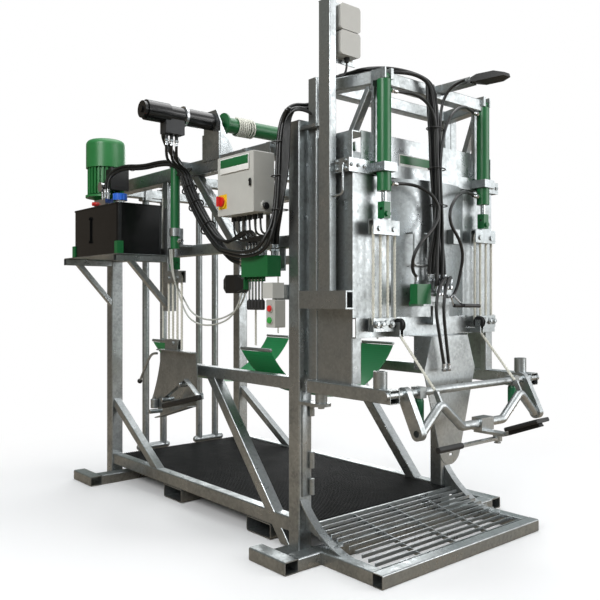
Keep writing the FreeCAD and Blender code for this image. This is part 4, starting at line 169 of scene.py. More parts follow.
def galvanised(tree, place):
    """Hot-dip galvanised steel: a bright skin of small crystals under cloudy, duller patches."""
    crystals = add(tree, "TexVoronoi", {"Scale": 1 / sizes().spangle}, {"Vector": place})
    shade = add(tree, "SeparateColor", links={"Color": crystals.outputs["Color"]})
    cloud = add(tree, "TexNoise", {"Scale": 1 / (160 * MM), "Detail": 7.0, "Roughness": 0.7},
                {"Vector": place})
    both = add(tree, "Math", {"operation": "MULTIPLY_ADD", 1: 0.16},
               {0: shade.outputs[0], 2: cloud.outputs["Fac"]})
    level = add(tree, "MapRange", {"From Min": 0.38, "From Max": 0.78},
                {"Value": both.outputs[0]})
    tint = add(tree, "Mix", {"data_type": "RGBA", 6: tuple(colours().zinc_dark),
               7: tuple(colours().zinc_light)}, {0: level.outputs[0]})
    rough = add(tree, "MapRange", {"To Min": 0.46, "To Max": 0.24}, {"Value": level.outputs[0]})
    grain = add(tree, "TexNoise", {"Scale": 1 / (28 * MM), "Detail": 4.0}, {"Vector": place})
    return {"colour": tint.outputs[2], "metallic": 0.94, "roughness": rough.outputs[0],
            "height": grain.outputs["Fac"]}


def enamel(colour, rough=0.3):
    """Sprayed enamel on steel: even colour with slight dust, soft gloss and fine orange peel."""
    def build(tree, place):
        dust = add(tree, "TexNoise", {"Scale": 1 / (90 * MM), "Detail": 6.0, "Roughness": 0.7},
                   {"Vector": place})
        level = add(tree, "MapRange", {"From Min": 0.35, "From Max": 0.7, "To Max": 0.35},
                    {"Value": dust.outputs["Fac"]})
        dusty = tuple(min(1.0, c * 1.25 + 0.006) for c in colour[:3]) + (1.0,)
        tint = add(tree, "Mix", {"data_type": "RGBA", 6: tuple(colour), 7: dusty},
                   {0: level.outputs[0]})
        gloss = add(tree, "MapRange", {"To Min": rough - 0.05, "To Max": rough + 0.16},
                    {"Value": dust.outputs["Fac"]})
        peel = add(tree, "TexNoise", {"Scale": 1 / (6 * MM), "Detail": 1.0}, {"Vector": place})
        return {"colour": tint.outputs[2], "metallic": 0.0, "roughness": gloss.outputs[0],
                "height": peel.outputs["Fac"]}
    return build


def moulded(colour, rough=0.45):
    """Moulded plastic or rubber: one colour, a fine even grain and a dull sheen."""
    def build(tree, place):
        grain = add(tree, "TexNoise", {"Scale": 1 / (4 * MM), "Detail": 4.0}, {"Vector": place})
        wear = add(tree, "TexNoise", {"Scale": 1 / (60 * MM), "Detail": 5.0}, {"Vector": place})
        rubbed = tuple(min(1.0, c * 1.25 + 0.004) for c in colour[:3]) + (1.0,)
        tint = add(tree, "Mix", {"data_type": "RGBA", 6: tuple(colour), 7: rubbed},
                   {0: wear.outputs["Fac"]})
        gloss = add(tree, "MapRange", {"To Min": rough - 0.08, "To Max": rough + 0.14},
                    {"Value": wear.outputs["Fac"]})
        return {"colour": tint.outputs[2], "metallic": 0.0, "roughness": gloss.outputs[0],
                "height": grain.outputs["Fac"]}
    return build


def turned_steel(tree, place):
    """Chromed or turned steel, as on a piston rod: near-mirror grey with faint rings."""
    marks = add(tree, "TexNoise", {"Scale": 1 / (12 * MM), "Detail": 2.0}, {"Vector": place})
    gloss = add(tree, "MapRange", {"To Min": 0.14, "To Max": 0.3},
                {"Value": marks.outputs["Fac"]})
    tint = add(tree, "Mix", {"data_type": "RGBA", 6: linear("#b4b7ba"), 7: linear("#d9dbdd")},
               {0: marks.outputs["Fac"]})
    return {"colour": tint.outputs[2], "metallic": 1.0, "roughness": gloss.outputs[0],
            "height": marks.outputs["Fac"]}


def yellow_brass(tree, place):
    """Turned brass: warm yellow metal, slightly tarnished."""
    looks = turned_steel(tree, place)
    tarnish = add(tree, "TexNoise", {"Scale": 1 / (25 * MM), "Detail": 3.0}, {"Vector": place})
    tint = add(tree, "Mix", {"data_type": "RGBA", 6: linear("#b08d45"), 7: linear("#d9bd76")},
               {0: tarnish.outputs["Fac"]})
    looks["colour"] = tint.outputs[2]
    return looks


def braid(tree, place):
    """Braided polyester rope: off-white yarn with grey dirt in the lay, no gloss."""
    dirt = add(tree, "TexNoise", {"Scale": 1 / (45 * MM), "Detail": 6.0, "Roughness": 0.75},
               {"Vector": place})
    level = add(tree, "MapRange", {"From Min": 0.4, "From Max": 0.75, "To Max": 0.7},
                {"Value": dirt.outputs["Fac"]})
    tint = add(tree, "Mix", {"data_type": "RGBA", 6: tuple(colours().rope), 7: linear("#b3b3a6")},
               {0: level.outputs[0]})
    yarn = add(tree, "TexNoise", {"Scale": 1 / (2.5 * MM), "Detail": 2.0}, {"Vector": place})
    return {"colour": tint.outputs[2], "metallic": 0.0, "roughness": 0.85, "height": yarn.outputs["Fac"]}


def webbing(tree, place):
    """Woven polyester webbing: ribs of weft 6 mm apart, drawn coarser than real so that they show, with
    painted shade darkening the grooves between them.
    """
    across = add(tree, "TexWave", {"wave_type": "BANDS", "bands_direction": "X",
                 "Scale": 0.314 / (6 * MM), "Distortion": 0.4}, {"Vector": place})
    along = add(tree, "TexWave", {"wave_type": "BANDS", "bands_direction": "Y",
                "Scale": 0.314 / (9 * MM), "Distortion": 0.4}, {"Vector": place})
    weave = add(tree, "Math", {"operation": "MULTIPLY"},
                {0: across.outputs["Fac"], 1: along.outputs["Fac"]})
    green = tuple(colours().sling)
    # Painted shade: the green is darkened to 0.8 where the weave sinks, in its grooves.
    groove_shade = tuple(c * 0.8 for c in green[:3]) + (1.0,)
    tint = add(tree, "Mix", {"data_type": "RGBA", 6: groove_shade, 7: green}, {0: weave.outputs[0]})
    return {"colour": tint.outputs[2], "metallic": 0.0, "roughness": 0.42, "height": weave.outputs[0]}


def inside(tree, place, low, high):
    """1 inside the box between two corners, 0 outside it."""
    centre = [(a + b) / 2 for a, b in zip(low, high)]
    half = [(b - a) / 2 for a, b in zip(low, high)]
    off = add(tree, "VectorMath", {"operation": "SUBTRACT", 1: centre}, {0: place})
    size = add(tree, "VectorMath", {"operation": "ABSOLUTE"}, {0: off.outputs[0]})
    over = add(tree, "VectorMath", {"operation": "SUBTRACT", 1: half}, {0: size.outputs[0]})
    axes = add(tree, "SeparateXYZ", links={0: over.outputs[0]})
    wide = add(tree, "Math", {"operation": "MAXIMUM"}, {0: axes.outputs[0], 1: axes.outputs[1]})
    worst = add(tree, "Math", {"operation": "MAXIMUM"}, {0: wide.outputs[0], 1: axes.outputs[2]})
    return add(tree, "Math", {"operation": "LESS_THAN", 1: 0.0}, {0: worst.outputs[0]}).outputs[0]


def painted(name, base, *areas, bump=0.12, depth=0.4, shine=0.5):
    """A material of one finish, with other finishes inside boxes of the object's own space."""
    made = bpy.data.materials.new(name)
    made.use_nodes = True
    tree = made.node_tree
    tree.nodes.clear()
    place = add(tree, "TexCoord").outputs["Object"]
    looks = base(tree, place)
    for finish, boxes in areas:
        factor = None
        for low, high in boxes:
            here = inside(tree, place, low, high)
            if factor is not None:
                both = add(tree, "Math", {"operation": "MAXIMUM"}, {0: factor, 1: here})
                here = both.outputs[0]
            factor = here
        other = finish(tree, place)
        for channel in CHANNELS:
            first, second = (6, 7) if channel == "colour" else (2, 3)
            settings = {"data_type": "RGBA" if channel == "colour" else "FLOAT"}
            links = {0: factor}
            for index, value in ((first, looks[channel]), (second, other[channel])):
                if isinstance(value, bpy.types.NodeSocket):
                    links[index] = value
                else:
                    settings[index] = value
            mixed = add(tree, "Mix", settings, links)
            looks[channel] = mixed.outputs[2 if channel == "colour" else 0]
    shader = add(tree, "BsdfPrincipled")
    for socket, channel in (("Base Color", "colour"), ("Metallic", "metallic"), ("Roughness", "roughness")):
        if isinstance(looks[channel], bpy.types.NodeSocket):
            tree.links.new(looks[channel], shader.inputs[socket])
        else:
            shader.inputs[socket].default_value = looks[channel]
    shader.inputs["Specular IOR Level"].default_value = shine
    relief = add(tree, "Bump", {"Strength": bump, "Distance": depth * MM},
                 {"Height": looks["height"]})
    tree.links.new(relief.outputs[0], shader.inputs["Normal"])
    add(tree, "OutputMaterial", links={"Surface": shader.outputs[0]})
    return made


def dress(material, *names):
    """Give CAD nodes a material."""
    for name in names:
        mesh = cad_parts[name].data
        mesh.materials.clear()
        mesh.materials.append(material)


def box(x0, x1, y0, y1, z0, z1):
    """The two corners of a box from its sides."""
    return (x0, y0, z0), (x1, y1, z1)


# Shapes


def fresh():
    """Leave edit mode and select nothing, so that an operator meets only the new piece."""
    if bpy.context.object and bpy.context.object.mode != "OBJECT":
        bpy.ops.object.mode_set(mode="OBJECT")
    bpy.ops.object.select_all(action="DESELECT")


def take(piece):
    """Select one piece alone and make it the active one."""
    fresh()
    piece.select_set(True)
    bpy.context.view_layer.objects.active = piece


def applied(piece, kind, **settings):
    """Give the active piece a modifier and apply it."""
    modifier = piece.modifiers.new(kind.lower(), kind)
    for key, value in settings.items():
        setattr(modifier, key, value)
    bpy.ops.object.modifier_apply(modifier=modifier.name)


def settle(piece, name, body, material, angle=35.0):
    """Name a finished piece, put its place into its mesh, and let it ride."""
    take(piece)
    bpy.ops.object.transform_apply(location=True, rotation=True, scale=True)
    piece.name = name
    piece.data.name = name
    piece.data.materials.clear()
    piece.data.materials.append(material)
    if piece.type == "MESH":
        bpy.ops.object.shade_smooth_by_angle(angle=math.radians(angle))
    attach(piece, body)
    return piece


def mesh_piece(points, faces):
    """A new object from points and faces."""
    mesh = bpy.data.meshes.new("piece")
    mesh.from_pydata(points, [], faces)
    mesh.update()
    piece = bpy.data.objects.new("piece", mesh)
    bpy.context.scene.collection.objects.link(piece)
    return piece


def rings(path, offsets, radius, sides):
    """Points and faces of round strands that run beside a path; offsets give their places."""
    points, faces = [], []
    tangents = []
    for i in range(len(path)):
        a, b = path[max(i - 1, 0)], path[min(i + 1, len(path) - 1)]
        tangents.append((b - a).normalized())
    side = tangents[0].orthogonal().normalized()
    frames = []
    for tangent in tangents:
        side = (side - tangent * side.dot(tangent)).normalized()
        frames.append((side.copy(), tangent.cross(side)))
    for offset in offsets:
        base = len(points)
        for i, centre in enumerate(path):
            u, v = frames[i]
            du, dv = offset(i)
            middle = centre + u * du + v * dv
            for k in range(sides):
                turn = 2 * math.pi * k / sides
                points.append(middle + u * (radius * math.cos(turn)) + v * (radius * math.sin(turn)))
        for i in range(len(path) - 1):
            for k in range(sides):
                a = base + i * sides + k
                b = base + i * sides + (k + 1) % sides
                faces.append((a, b, b + sides, a + sides))
        faces.append(tuple(reversed(range(base, base + sides))))
        last = base + (len(path) - 1) * sides
        faces.append(tuple(range(last, last + sides)))
    return points, faces


def even(path, step):
    """The same line with points about one step apart."""
    result = [path[0]]
    for a, b in zip(path, path[1:]):
        count = max(1, round((b - a).length / step))
        result.extend(a.lerp(b, i / count) for i in range(1, count + 1))
    return result


def laid_rope(name, paths, radius, body, material, step=0.006):
    """A three-strand rope: each strand winds round the line once in seven radii."""
    points, faces = [], []
    lay, sides = 7.0, 6
    strand_r = radius * 0.50
    for path in paths:
        line = even(path, step)
        run = [0.0]
        for a, b in zip(line, line[1:]):
            run.append(run[-1] + (b - a).length)
        offsets = []
        for k in range(3):
            def offset(i, k=k):
                turn = 2 * math.pi * (run[i] / (lay * radius) + k / 3)
                return (radius - strand_r) * math.cos(turn), (radius - strand_r) * math.sin(turn)
            offsets.append(offset)
        more, quads = rings(line, offsets, strand_r, sides)
        faces.extend(tuple(v + len(points) for v in quad) for quad in quads)
        points.extend(more)
    return settle(mesh_piece(points, faces), name, body, material, 60.0)


def arc(centre, radius, start, end, count=12):
    """Points of an arc in the plane of u and z, angles in degrees."""
    made = []
    for i in range(count + 1):
        turn = math.radians(start + (end - start) * i / count)
        made.append((centre[0] + radius * math.cos(turn), centre[1] + radius * math.sin(turn)))
    return made


def reeved(lift):
    """The rope's line in one tackle, over, under and over the sheaves, as pairs of u and z."""
    block, low = lift["block"], lift["low"]
    return ([(-OUTER_FALL, low - 0.010)] + arc((-SHEAVE_PITCH, block), SHEAVE_R, 180, 0)
            + arc((0, low), INNER_FALL, 180, 360) + arc((SHEAVE_PITCH, block), SHEAVE_R, 180, 0)
            + [(OUTER_FALL, lift["end"])])


def curve_line(name, points, radius):
    """A round curve through a route's points as its control points."""
    curve = bpy.data.curves.new(name, "CURVE")
    curve.dimensions = "3D"
    curve.bevel_depth = radius
    curve.bevel_resolution = 4
    curve.use_fill_caps = True
    curve.resolution_u = 10
    spline = curve.splines.new("NURBS")
    spline.points.add(len(points) - 1)
    for point, place in zip(spline.points, points):
        point.co = (*place, 1.0)
    spline.order_u = 3
    spline.use_endpoint_u = True
    piece = bpy.data.objects.new(name, curve)
    bpy.context.scene.collection.objects.link(piece)
    return piece


def hose(name, points, body, material, radius):
    """A hose on one smooth line through its route."""
    piece = settle(curve_line(name, points, radius), name, body, material)
    return piece


def crossing_hose(name, points, bodies, material, radius):
    """A hose that crosses a joint, made as one mesh and left on no body."""
    piece = curve_line(name, points, radius)
    take(piece)
    bpy.ops.object.convert(target="MESH")
    piece = settle(bpy.context.object, name, bodies[0], material, 60.0)
    piece.parent = None
    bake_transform(piece)
    return piece


def turned(profile, at, axis=(0, 0, 1), steps=20):
    """A turned piece: pairs of radius and height, spun about an axis through a point."""
    mesh = bpy.data.meshes.new("turned")
    mesh.from_pydata([(r, 0, h) for r, h in profile], [(i, i + 1) for i in range(len(profile) - 1)], [])
    piece = bpy.data.objects.new("turned", mesh)
    bpy.context.scene.collection.objects.link(piece)
    take(piece)
    bpy.ops.object.mode_set(mode="EDIT")
    bpy.ops.mesh.select_all(action="SELECT")
    bpy.ops.mesh.spin(steps=steps, angle=2 * math.pi, center=(0, 0, 0), axis=(0, 0, 1))
    bpy.ops.mesh.select_all(action="SELECT")
    bpy.ops.mesh.remove_doubles(threshold=0.00005)
    bpy.ops.mesh.normals_make_consistent(inside=False)
    bpy.ops.object.mode_set(mode="OBJECT")
    piece.rotation_euler = Vector(axis).to_track_quat("Z", "Y").to_euler()
    piece.location = at
    return piece


def block(low, high, edge=0.002, turn=(0, 0, 0)):
    """A block between two corners with rounded edges, turned about its middle."""
    fresh()
    middle = [(a + b) / 2 for a, b in zip(low, high)]
    bpy.ops.mesh.primitive_cube_add(size=1.0, location=middle, rotation=turn)
    piece = bpy.context.object
    piece.scale = [b - a for a, b in zip(low, high)]
    bpy.ops.object.transform_apply(location=False, rotation=False, scale=True)
    applied(piece, "BEVEL", width=edge, segments=2)
    return piece


def joined(pieces, name, body, material, angle=35.0):
    """One named piece from several shapes that are fixed together or alike."""
    fresh()
    for piece in pieces:
        piece.select_set(True)
    bpy.context.view_layer.objects.active = pieces[0]
    bpy.ops.object.transform_apply(location=True, rotation=True, scale=True)
    if len(pieces) > 1:
        bpy.ops.object.join()
    made = settle(bpy.context.object, name, body, material, angle)
    return made


def crimped(at, axis, radius, length=0.034):
    """A hose end: hexagon nut, neck and the sleeve crimped on the hose, from the port outwards."""
    nut = turned([(0, 0), (1.45 * radius, 0), (1.6 * radius, 0.001), (1.6 * radius, 0.011),
                  (1.45 * radius, 0.012), (radius, 0.012)], at, axis, 6)
    start = Vector(at) + Vector(axis).normalized() * 0.0115
    ribs = [(1.28 * radius, 0.008), (1.18 * radius, 0.011), (1.28 * radius, 0.014),
            (1.18 * radius, 0.017), (1.28 * radius, 0.020)]
    sleeve = turned([(0, 0), (0.8 * radius, 0), (0.8 * radius, 0.004), (1.25 * radius, 0.005)] + ribs
                    + [(1.25 * radius, length - 0.012), (1.05 * radius, length - 0.011)], start, axis, 16)
    return [nut, sleeve]


def band(at, axis, half_wide, half_deep):
    """A cable tie drawn round a bundle."""
    fresh()
    bpy.ops.mesh.primitive_torus_add(major_radius=1.0, minor_radius=0.1, major_segments=28,
                                     minor_segments=6)
    ring = bpy.context.object
    ring.scale = (half_wide, half_deep, 0.028)
    bpy.ops.object.transform_apply(location=False, rotation=False, scale=True)
    ring.rotation_mode = "QUATERNION"
    ring.rotation_quaternion = Vector(axis).to_track_quat("Z", "Y")
    ring.location = at
    return ring


# Operators, one for each piece or group of like pieces


class CHUTE_OT_steelwork(bpy.types.Operator):
    """Give the galvanised frames, gate and fittings their zinc skin."""
    bl_idname = "chute.steelwork"
    bl_label = "Galvanised steelwork"

    def execute(self, context):
        dress(painted("hot-dip galvanised steel", galvanised),
              "posts", "ground_frame", "floor_frame", "side_frames", "fork_pockets", "roof_frame",
              "entry_ramp", "head_gate_near", "head_gate_far", "front_lift_mounts",
              "winch_bracket", "gate_frame", "gate_sheets", "gate_curved_sheet", "gate_drop_plate",
              "latch_bar", "leg_bar", "front_leg_boards")
        guides = [box(0.21, 0.29, y - 0.0095, y + 0.0095, 1.035, 1.115) for y in (-0.302, 0.302)]
        housings = [box(0.0445, 0.1, -0.522, -0.393, 2.29, 2.53)]
        arm_pad = [box(0.436, 0.62, -0.05, 0.05, 2.16, 2.22)]
        foot_pad = [box(0.63, 0.8, -0.05, 0.05, 0.60, 0.70)]
        grip = [box(0.54, 0.6, -0.42, -0.2605, 0.55, 0.60)]
        black = moulded(linear("#101112"), 0.4)
        grey = enamel(linear("#b5b5b0"), 0.4)
        rubber = moulded(tuple(colours().rubber), 0.6)
        for name, finish, area, node in (
                ("galvanised mounts with moulded guide rollers", black, guides, "rear_lift_mounts"),
                ("galvanised mast with a grey housing", grey, housings, "gate_mast"),
                ("galvanised arm with a rubber pad", rubber, arm_pad, "top_arm"),
                ("galvanised clamp with a rubber pad", rubber, foot_pad, "foot_clamp"),
                ("galvanised lever with a rubber grip", rubber, grip, "foot_clamp_lever")):
            dress(painted(name, galvanised, (finish, area)), node)
        return {"FINISHED"}


class CHUTE_OT_lifts(bpy.types.Operator):
    """Enamel the lift cylinders, and give their rods, clevises and blocks their finishes."""
    bl_idname = "chute.lifts"
    bl_label = "Lift cylinders and tackles"

    def execute(self, context):
        green = enamel(tuple(colours().green), 0.28)
        dress(painted("green enamelled steel", green), "front_lift_cylinders", "rear_lift_cylinders")
        for end, clevis, shaft in (("front", 1.358, 1.4265), ("rear", 1.554, 1.6285)):
            skin = painted(end + " rod, clevis and block", galvanised,
                           (green, [box(-2, 2, -2, 2, clevis, shaft)]),
                           (turned_steel, [box(-2, 2, -2, 2, shaft, 2.5)]))
            dress(skin, "near_" + end + "_lift", "far_" + end + "_lift")
        return {"FINISHED"}


class CHUTE_OT_power(bpy.types.Operator):
    """Finish the oil tank, pump motor, winch and drum."""
    bl_idname = "chute.power"
    bl_label = "Power unit and winch"

    def execute(self, context):
        black = enamel(tuple(colours().black), 0.16)
        green = enamel(tuple(colours().green), 0.28)
        filler_neck = box(-1.530, -1.470, -0.824, -0.766, 1.7485, 1.7755)
        manifold = box(-1.738, -1.584, -0.851, -0.795, 1.7485, 1.7925)
        ports = box(-1.648, -1.590, -0.834, -0.812, 1.7915, 1.820)
        gauge = box(-1.708, -1.644, -0.843, -0.809, 1.7915, 1.904)
        feet = [box(x - 0.021, x + 0.021, -0.885, -0.843, 1.450, 1.527) for x in (-1.965, -1.377)]
        breather = box(-1.545, -1.457, -0.839, -0.751, 1.7755, 1.816)
        plug = box(-1.730, -1.702, -0.871, -0.8495, 1.756, 1.784)
        dress(painted("black enamelled tank with its fittings", black,
                      (turned_steel, [filler_neck, manifold, ports, gauge]), (green, feet),
                      (moulded(linear("#1f5fc4"), 0.35), [breather]),
                      (moulded(linear("#c4241c"), 0.35), [plug]), shine=0.4), "oil_tank")
        terminals = box(-1.712, -1.6335, -0.792, -0.668, 1.856, 1.994)
        dress(painted("green enamelled motor with a black terminal box",
                      enamel(tuple(colours().motor_green), 0.3),
                      (moulded(linear("#0b0c0d"), 0.4), [terminals])), "pump_motor")
        ring = box(-0.9305, -0.8215, -0.7485, -0.7335, 2.10, 2.22)
        low_block = box(-0.907, -0.841, -0.865, -0.7535, 2.027, 2.1305)
        dress(painted("black winch motor with its steel ring", black,
                      (turned_steel, [ring]), (enamel(linear("#26282a"), 0.4), [low_block])), "winch_motor")
        flange = box(-0.95, -0.8, -0.60, -0.50, 2.0, 2.3)
        dress(painted("green enamelled drum", green, (galvanised, [flange])), "winch_drum")
        return {"FINISHED"}


class CHUTE_OT_controls(bpy.types.Operator):
    """Finish the control box, its door and switch, the valve banks, levers and buttons."""
    bl_idname = "chute.controls"
    bl_label = "Controls"

    def execute(self, context):
        cabinet = enamel(tuple(colours().cabinet), 0.42)
        black = moulded(linear("#1a1b1c"), 0.45)
        green = enamel(tuple(colours().green), 0.3)
        glands = box(-0.61, -0.27, -0.72, -0.58, 1.57, 1.6055)
        hinges = box(-0.61, -0.5915, -0.72, -0.6965, 1.6, 1.9)
        dress(painted("powder coated cabinet", cabinet, (black, [glands]), (galvanised, [hinges])),
              "control_box")
        plate = box(-0.583, -0.511, -0.7255, -0.7149, 1.640, 1.712)
        dress(painted("powder coated door with a yellow plate", cabinet,
                      (moulded(linear("#d9b21f"), 0.35), [plate])), "control_box_door")
        dress(painted("red moulded switch", moulded(linear("#c9211c"), 0.3)), "main_switch", "stop_button")
        dress(painted("green moulded button", moulded(linear("#2f9a3e"), 0.3)), "start_button")
        upper = box(-0.32, -0.22, -0.65, -0.57, 1.193, 1.28)
        dress(painted("moulded button housing", moulded(linear("#a9aaa5"), 0.45),
                      (moulded(linear("#b9bab6"), 0.4), [upper])), "button_box")
        side_body = box(-0.65, -0.4545, -0.68, -0.59, 1.2, 1.345)
        bank_ports = [box(-0.47, -0.4465, -0.65, -0.60, 1.35, 1.40),
                      box(-0.45, -0.23, -0.67, -0.60, 1.4005, 1.425)]
        dress(painted("enamelled valve bank", green, (moulded(linear("#0b0c0c"), 0.35), [side_body]),
                      (turned_steel, bank_ports)), "valve_bank")
        grips = box(-0.45, -0.30, -0.66, -0.61, 1.13, 1.195)
        dress(painted("steel lever with a black grip", turned_steel, (black, [grips])),
              *["valve_lever_%d" % i for i in range(1, 6)])
        valve_body = box(0.19, 0.31, -0.1295, 0.07, 1.0, 1.3)
        dress(painted("enamelled valve with a steel body", green, (galvanised, [valve_body])), "rear_valve")
        handles = box(0.29, 0.36, 0.014, 0.2, 1.14, 1.175)
        dress(painted("steel lever with a black handle", turned_steel, (black, [handles])),
              "rear_lever_near", "rear_lever_far")
        studs = box(0.38, 0.44, -0.4, 0.4, 0.63, 0.6605)
        dress(painted("green rubber buffer", moulded(linear("#0d5a38"), 0.35), (yellow_brass, [studs])),
              "leg_bar_buffers")
        return {"FINISHED"}


def lift_ropes(white):
    """One unbroken rope in each tackle, over and under its sheaves, riding with its lift's rod."""
    for end, lift, across in (("front", FRONT_LIFT, False), ("rear", REAR_LIFT, True)):
        for side, sign in (("near", -1), ("far", 1)):
            line = []
            for u, z in reeved(lift):
                if across:
                    line.append(Vector((lift["x"], sign * (lift["y"] - u), z)))
                else:
                    line.append(Vector((lift["x"] + u, sign * lift["y"], z)))
            node = side + "_" + end + "_rope"
            rope = laid_rope(node + "_laid", [line], sizes().rope_r, side + "_" + end + "_rod", white)
            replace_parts(rope, node)
            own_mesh(rope)


def winding(white, radius):
    """The sling rope on the drum: tight turns beside the flange, then spread ones."""
    low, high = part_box("drum_rope")
    turns, tight_turns, steps = 8, 5, 32
    pitch = 2.15 * radius
    turn_r = (high.z - low.z) / 2 - radius
    spread = (high.y - low.y) - 2 * radius - tight_turns * pitch
    line = []
    for i in range(turns * steps + 1):
        turn = 2 * math.pi * i / steps
        tight = min(i / steps, tight_turns) * pitch
        loose = max(i / steps - tight_turns, 0) / (turns - tight_turns) * spread
        line.append(Vector((DRUM_X + turn_r * math.sin(turn), low.y + radius + tight + loose,
                            DRUM_Z + turn_r * math.cos(turn))))
    wound = laid_rope("drum_winding", [line], radius, "drum", white, step=0.012)
    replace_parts(wound, "drum_rope")


def sling_falls(white, radius):
    """Four straight ropes from the slings' bars to the roof."""
    low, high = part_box("sling_ropes")
    hangs = [[Vector((x, y, low.z)), Vector((x, y, high.z))]
             for x in (SLINGS[0][1], SLINGS[1][1]) for y in (-SLING_HALF_Y, SLING_HALF_Y)]
    ropes = laid_rope("sling_rope_falls", hangs, radius, "slings", white)
    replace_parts(ropes, "sling_ropes")
    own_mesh(ropes)


def leg_ropes(white):
    """From each guide roller to the eye on the leg bar: round the roller, then straight, and left on no
    body.
    """
    eye = Vector((0.456, 0, 0.800))
    centre = Vector((REAR_LIFT["x"] + GUIDE_R, 0, REAR_LIFT["end"]))
    gap = eye - centre
    leave = math.degrees(math.atan2(gap.z, gap.x) - math.acos(GUIDE_R / gap.length)) % 360
    for side, y in (("near", -0.302), ("far", 0.302)):
        line = [Vector((x, y, z)) for x, z in arc((centre.x, centre.z), GUIDE_R, 180, leave)]
        line.append(Vector((eye.x, y, eye.z)))
        rope = laid_rope(side + "_leg_rope", [line], sizes().rope_r, "gate", white)
        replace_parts(rope, "leg_ropes")
        rope.parent = None
        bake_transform(rope)


class CHUTE_OT_ropes(bpy.types.Operator):
    """Lay the white ropes: the lifts' reeved ropes, the winding, the sling and leg ropes."""
    bl_idname = "chute.ropes"
    bl_label = "Ropes"

    def execute(self, context):
        white = painted("braided rope", braid, bump=0.5, depth=0.6)
        radius = sizes().sling_rope_r
        lift_ropes(white)
        winding(white, radius)
        sling_falls(white, radius)
        leg_ropes(white)
        return {"FINISHED"}


class CHUTE_OT_slings(bpy.types.Operator):
    """Hang the two belly slings of broad webbing, with their end bars."""
    bl_idname = "chute.slings"
    bl_label = "Belly slings"

    def execute(self, context):
        weave = painted("woven webbing", webbing, bump=0.3, depth=0.4)
        bars = painted("galvanised sling bars", galvanised)
        radius = (SLING_HALF_Y ** 2 + SLING_RISE ** 2) / (2 * SLING_RISE)
        half_turn = math.asin(SLING_HALF_Y / radius)
        along, across = 48, 12
        for name, x, half_w in SLINGS:
            points, faces = [], []
            for i in range(along + 1):
                turn = -half_turn + 2 * half_turn * i / along
                for k in range(across + 1):
                    w = -1 + 2 * k / across
                    sag = 0.0035 * (1 - w ** 8) * math.cos(turn / half_turn * math.pi / 2)
                    r = radius - SLING_THICK / 2 - 0.001 + sag * 0.4
                    points.append((x + half_w * 0.996 * w, r * math.sin(turn),
                                   SLING_LOW + radius - r * math.cos(turn)))
            for i in range(along):
                for k in range(across):
                    a = i * (across + 1) + k
                    faces.append((a, a + 1, a + across + 2, a + across + 1))
            belt = mesh_piece(points, faces)
            take(belt)
            applied(belt, "SOLIDIFY", thickness=SLING_THICK * 0.8, offset=0.0)
            applied(belt, "BEVEL", width=0.0012, segments=2)
            belt = settle(belt, name + "_belly_sling", "slings", weave)
            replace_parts(belt, "belly_slings")
            for side, y in (("near", -SLING_HALF_Y), ("far", SLING_HALF_Y)):
                fresh()
                bpy.ops.mesh.primitive_cylinder_add(
                    vertices=24, radius=0.009, depth=2 * half_w, location=(x, y, SLING_BAR_Z),
                    rotation=(0, math.pi / 2, 0))
                bar = context.object
                applied(bar, "BEVEL", width=0.002, segments=2)
                bar = settle(bar, name + "_sling_bar_" + side, "slings", bars)
        return {"FINISHED"}


class CHUTE_OT_mat(bpy.types.Operator):
    """Lay the ribbed rubber mat on the floor plate."""
    bl_idname = "chute.mat"
    bl_label = "Floor mat"

    def execute(self, context):
        low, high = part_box("floor_mat")
        rubber = painted("vulcanised rubber", moulded(linear("#050606"), 0.62), bump=0.4, shine=0.15)
        base = high.z - 0.003
        count = int((high.y - low.y) / sizes().rib_pitch)
        pitch = (high.y - low.y) / count
        profile = [(low.y, low.z)]
        for i in range(count):
            y = low.y + i * pitch
            profile.extend([(y + 0.15 * pitch, base), (y + 0.3 * pitch, high.z), (y + 0.7 * pitch, high.z),
                            (y + 0.85 * pitch, base)])
        profile[1] = (low.y, base)
        profile[-1] = (high.y, base)
        profile.append((high.y, low.z))
        points = [(x, y, z) for x in (low.x, high.x) for y, z in profile]
        n = len(profile)
        faces = [(i, (i + 1) % n, n + (i + 1) % n, n + i) for i in range(n)]
        faces.extend([tuple(reversed(range(n))), tuple(range(n, 2 * n))])
        mat = mesh_piece(points, faces)
        take(mat)
        bpy.ops.object.mode_set(mode="EDIT")
        bpy.ops.mesh.select_all(action="SELECT")
        bpy.ops.mesh.normals_make_consistent(inside=False)
        bpy.ops.object.mode_set(mode="OBJECT")
        mat = settle(mat, "ribbed_mat", "frame", rubber, 20.0)
        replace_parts(mat, "floor_mat")
        return {"FINISHED"}


def packed(line):
    """A route in millimetres of the source's own axes, as metres of the frame."""
    return [((x - SOURCE_X) * MM, y * MM, z * MM) for x, y, z in line]


def side_route(dy, d):
    """From the winch's valve block to the valve bank's end, as the frame has it, in metres."""
    y = -617 + dy
    top_y = -780 + dy
    port_z = 1366 + d
    return packed([(-750, top_y, 2104 - d), (-832 + 0.2 * d, top_y, 2104 - d),
                   (-882 + 0.7 * d, top_y + 45, 2050 - 0.7 * d), (-892 + d, top_y + 105, 1980 - 0.2 * d),
                   (-880 + d, y - 4, 1900), (-830 + 0.9 * d, y, 1790 + 0.3 * d),
                   (-760 + 0.85 * d, y, 1690 + 0.5 * d), (-640 + 0.75 * d, y, 1556 + 0.66 * d),
                   (-500 + 0.4 * d, y, 1440 + 0.95 * d), (-380, y, port_z), (-290, y, port_z)])


def rise_route(dy, d):
    """From the valve bank's top ports up beside the rear post."""
    y = -609 + dy
    return packed([(-72 - d, y, 1420), (-72 - d, y, 1494), (-36 - d, y, 1620), (-22 - d, y, 1740),
                   (-20 - d, y, 1860), (-16 - 0.9 * d, y, 1990 + 0.4 * d),
                   (28 - 0.3 * d, y, 2066 + 0.95 * d)])


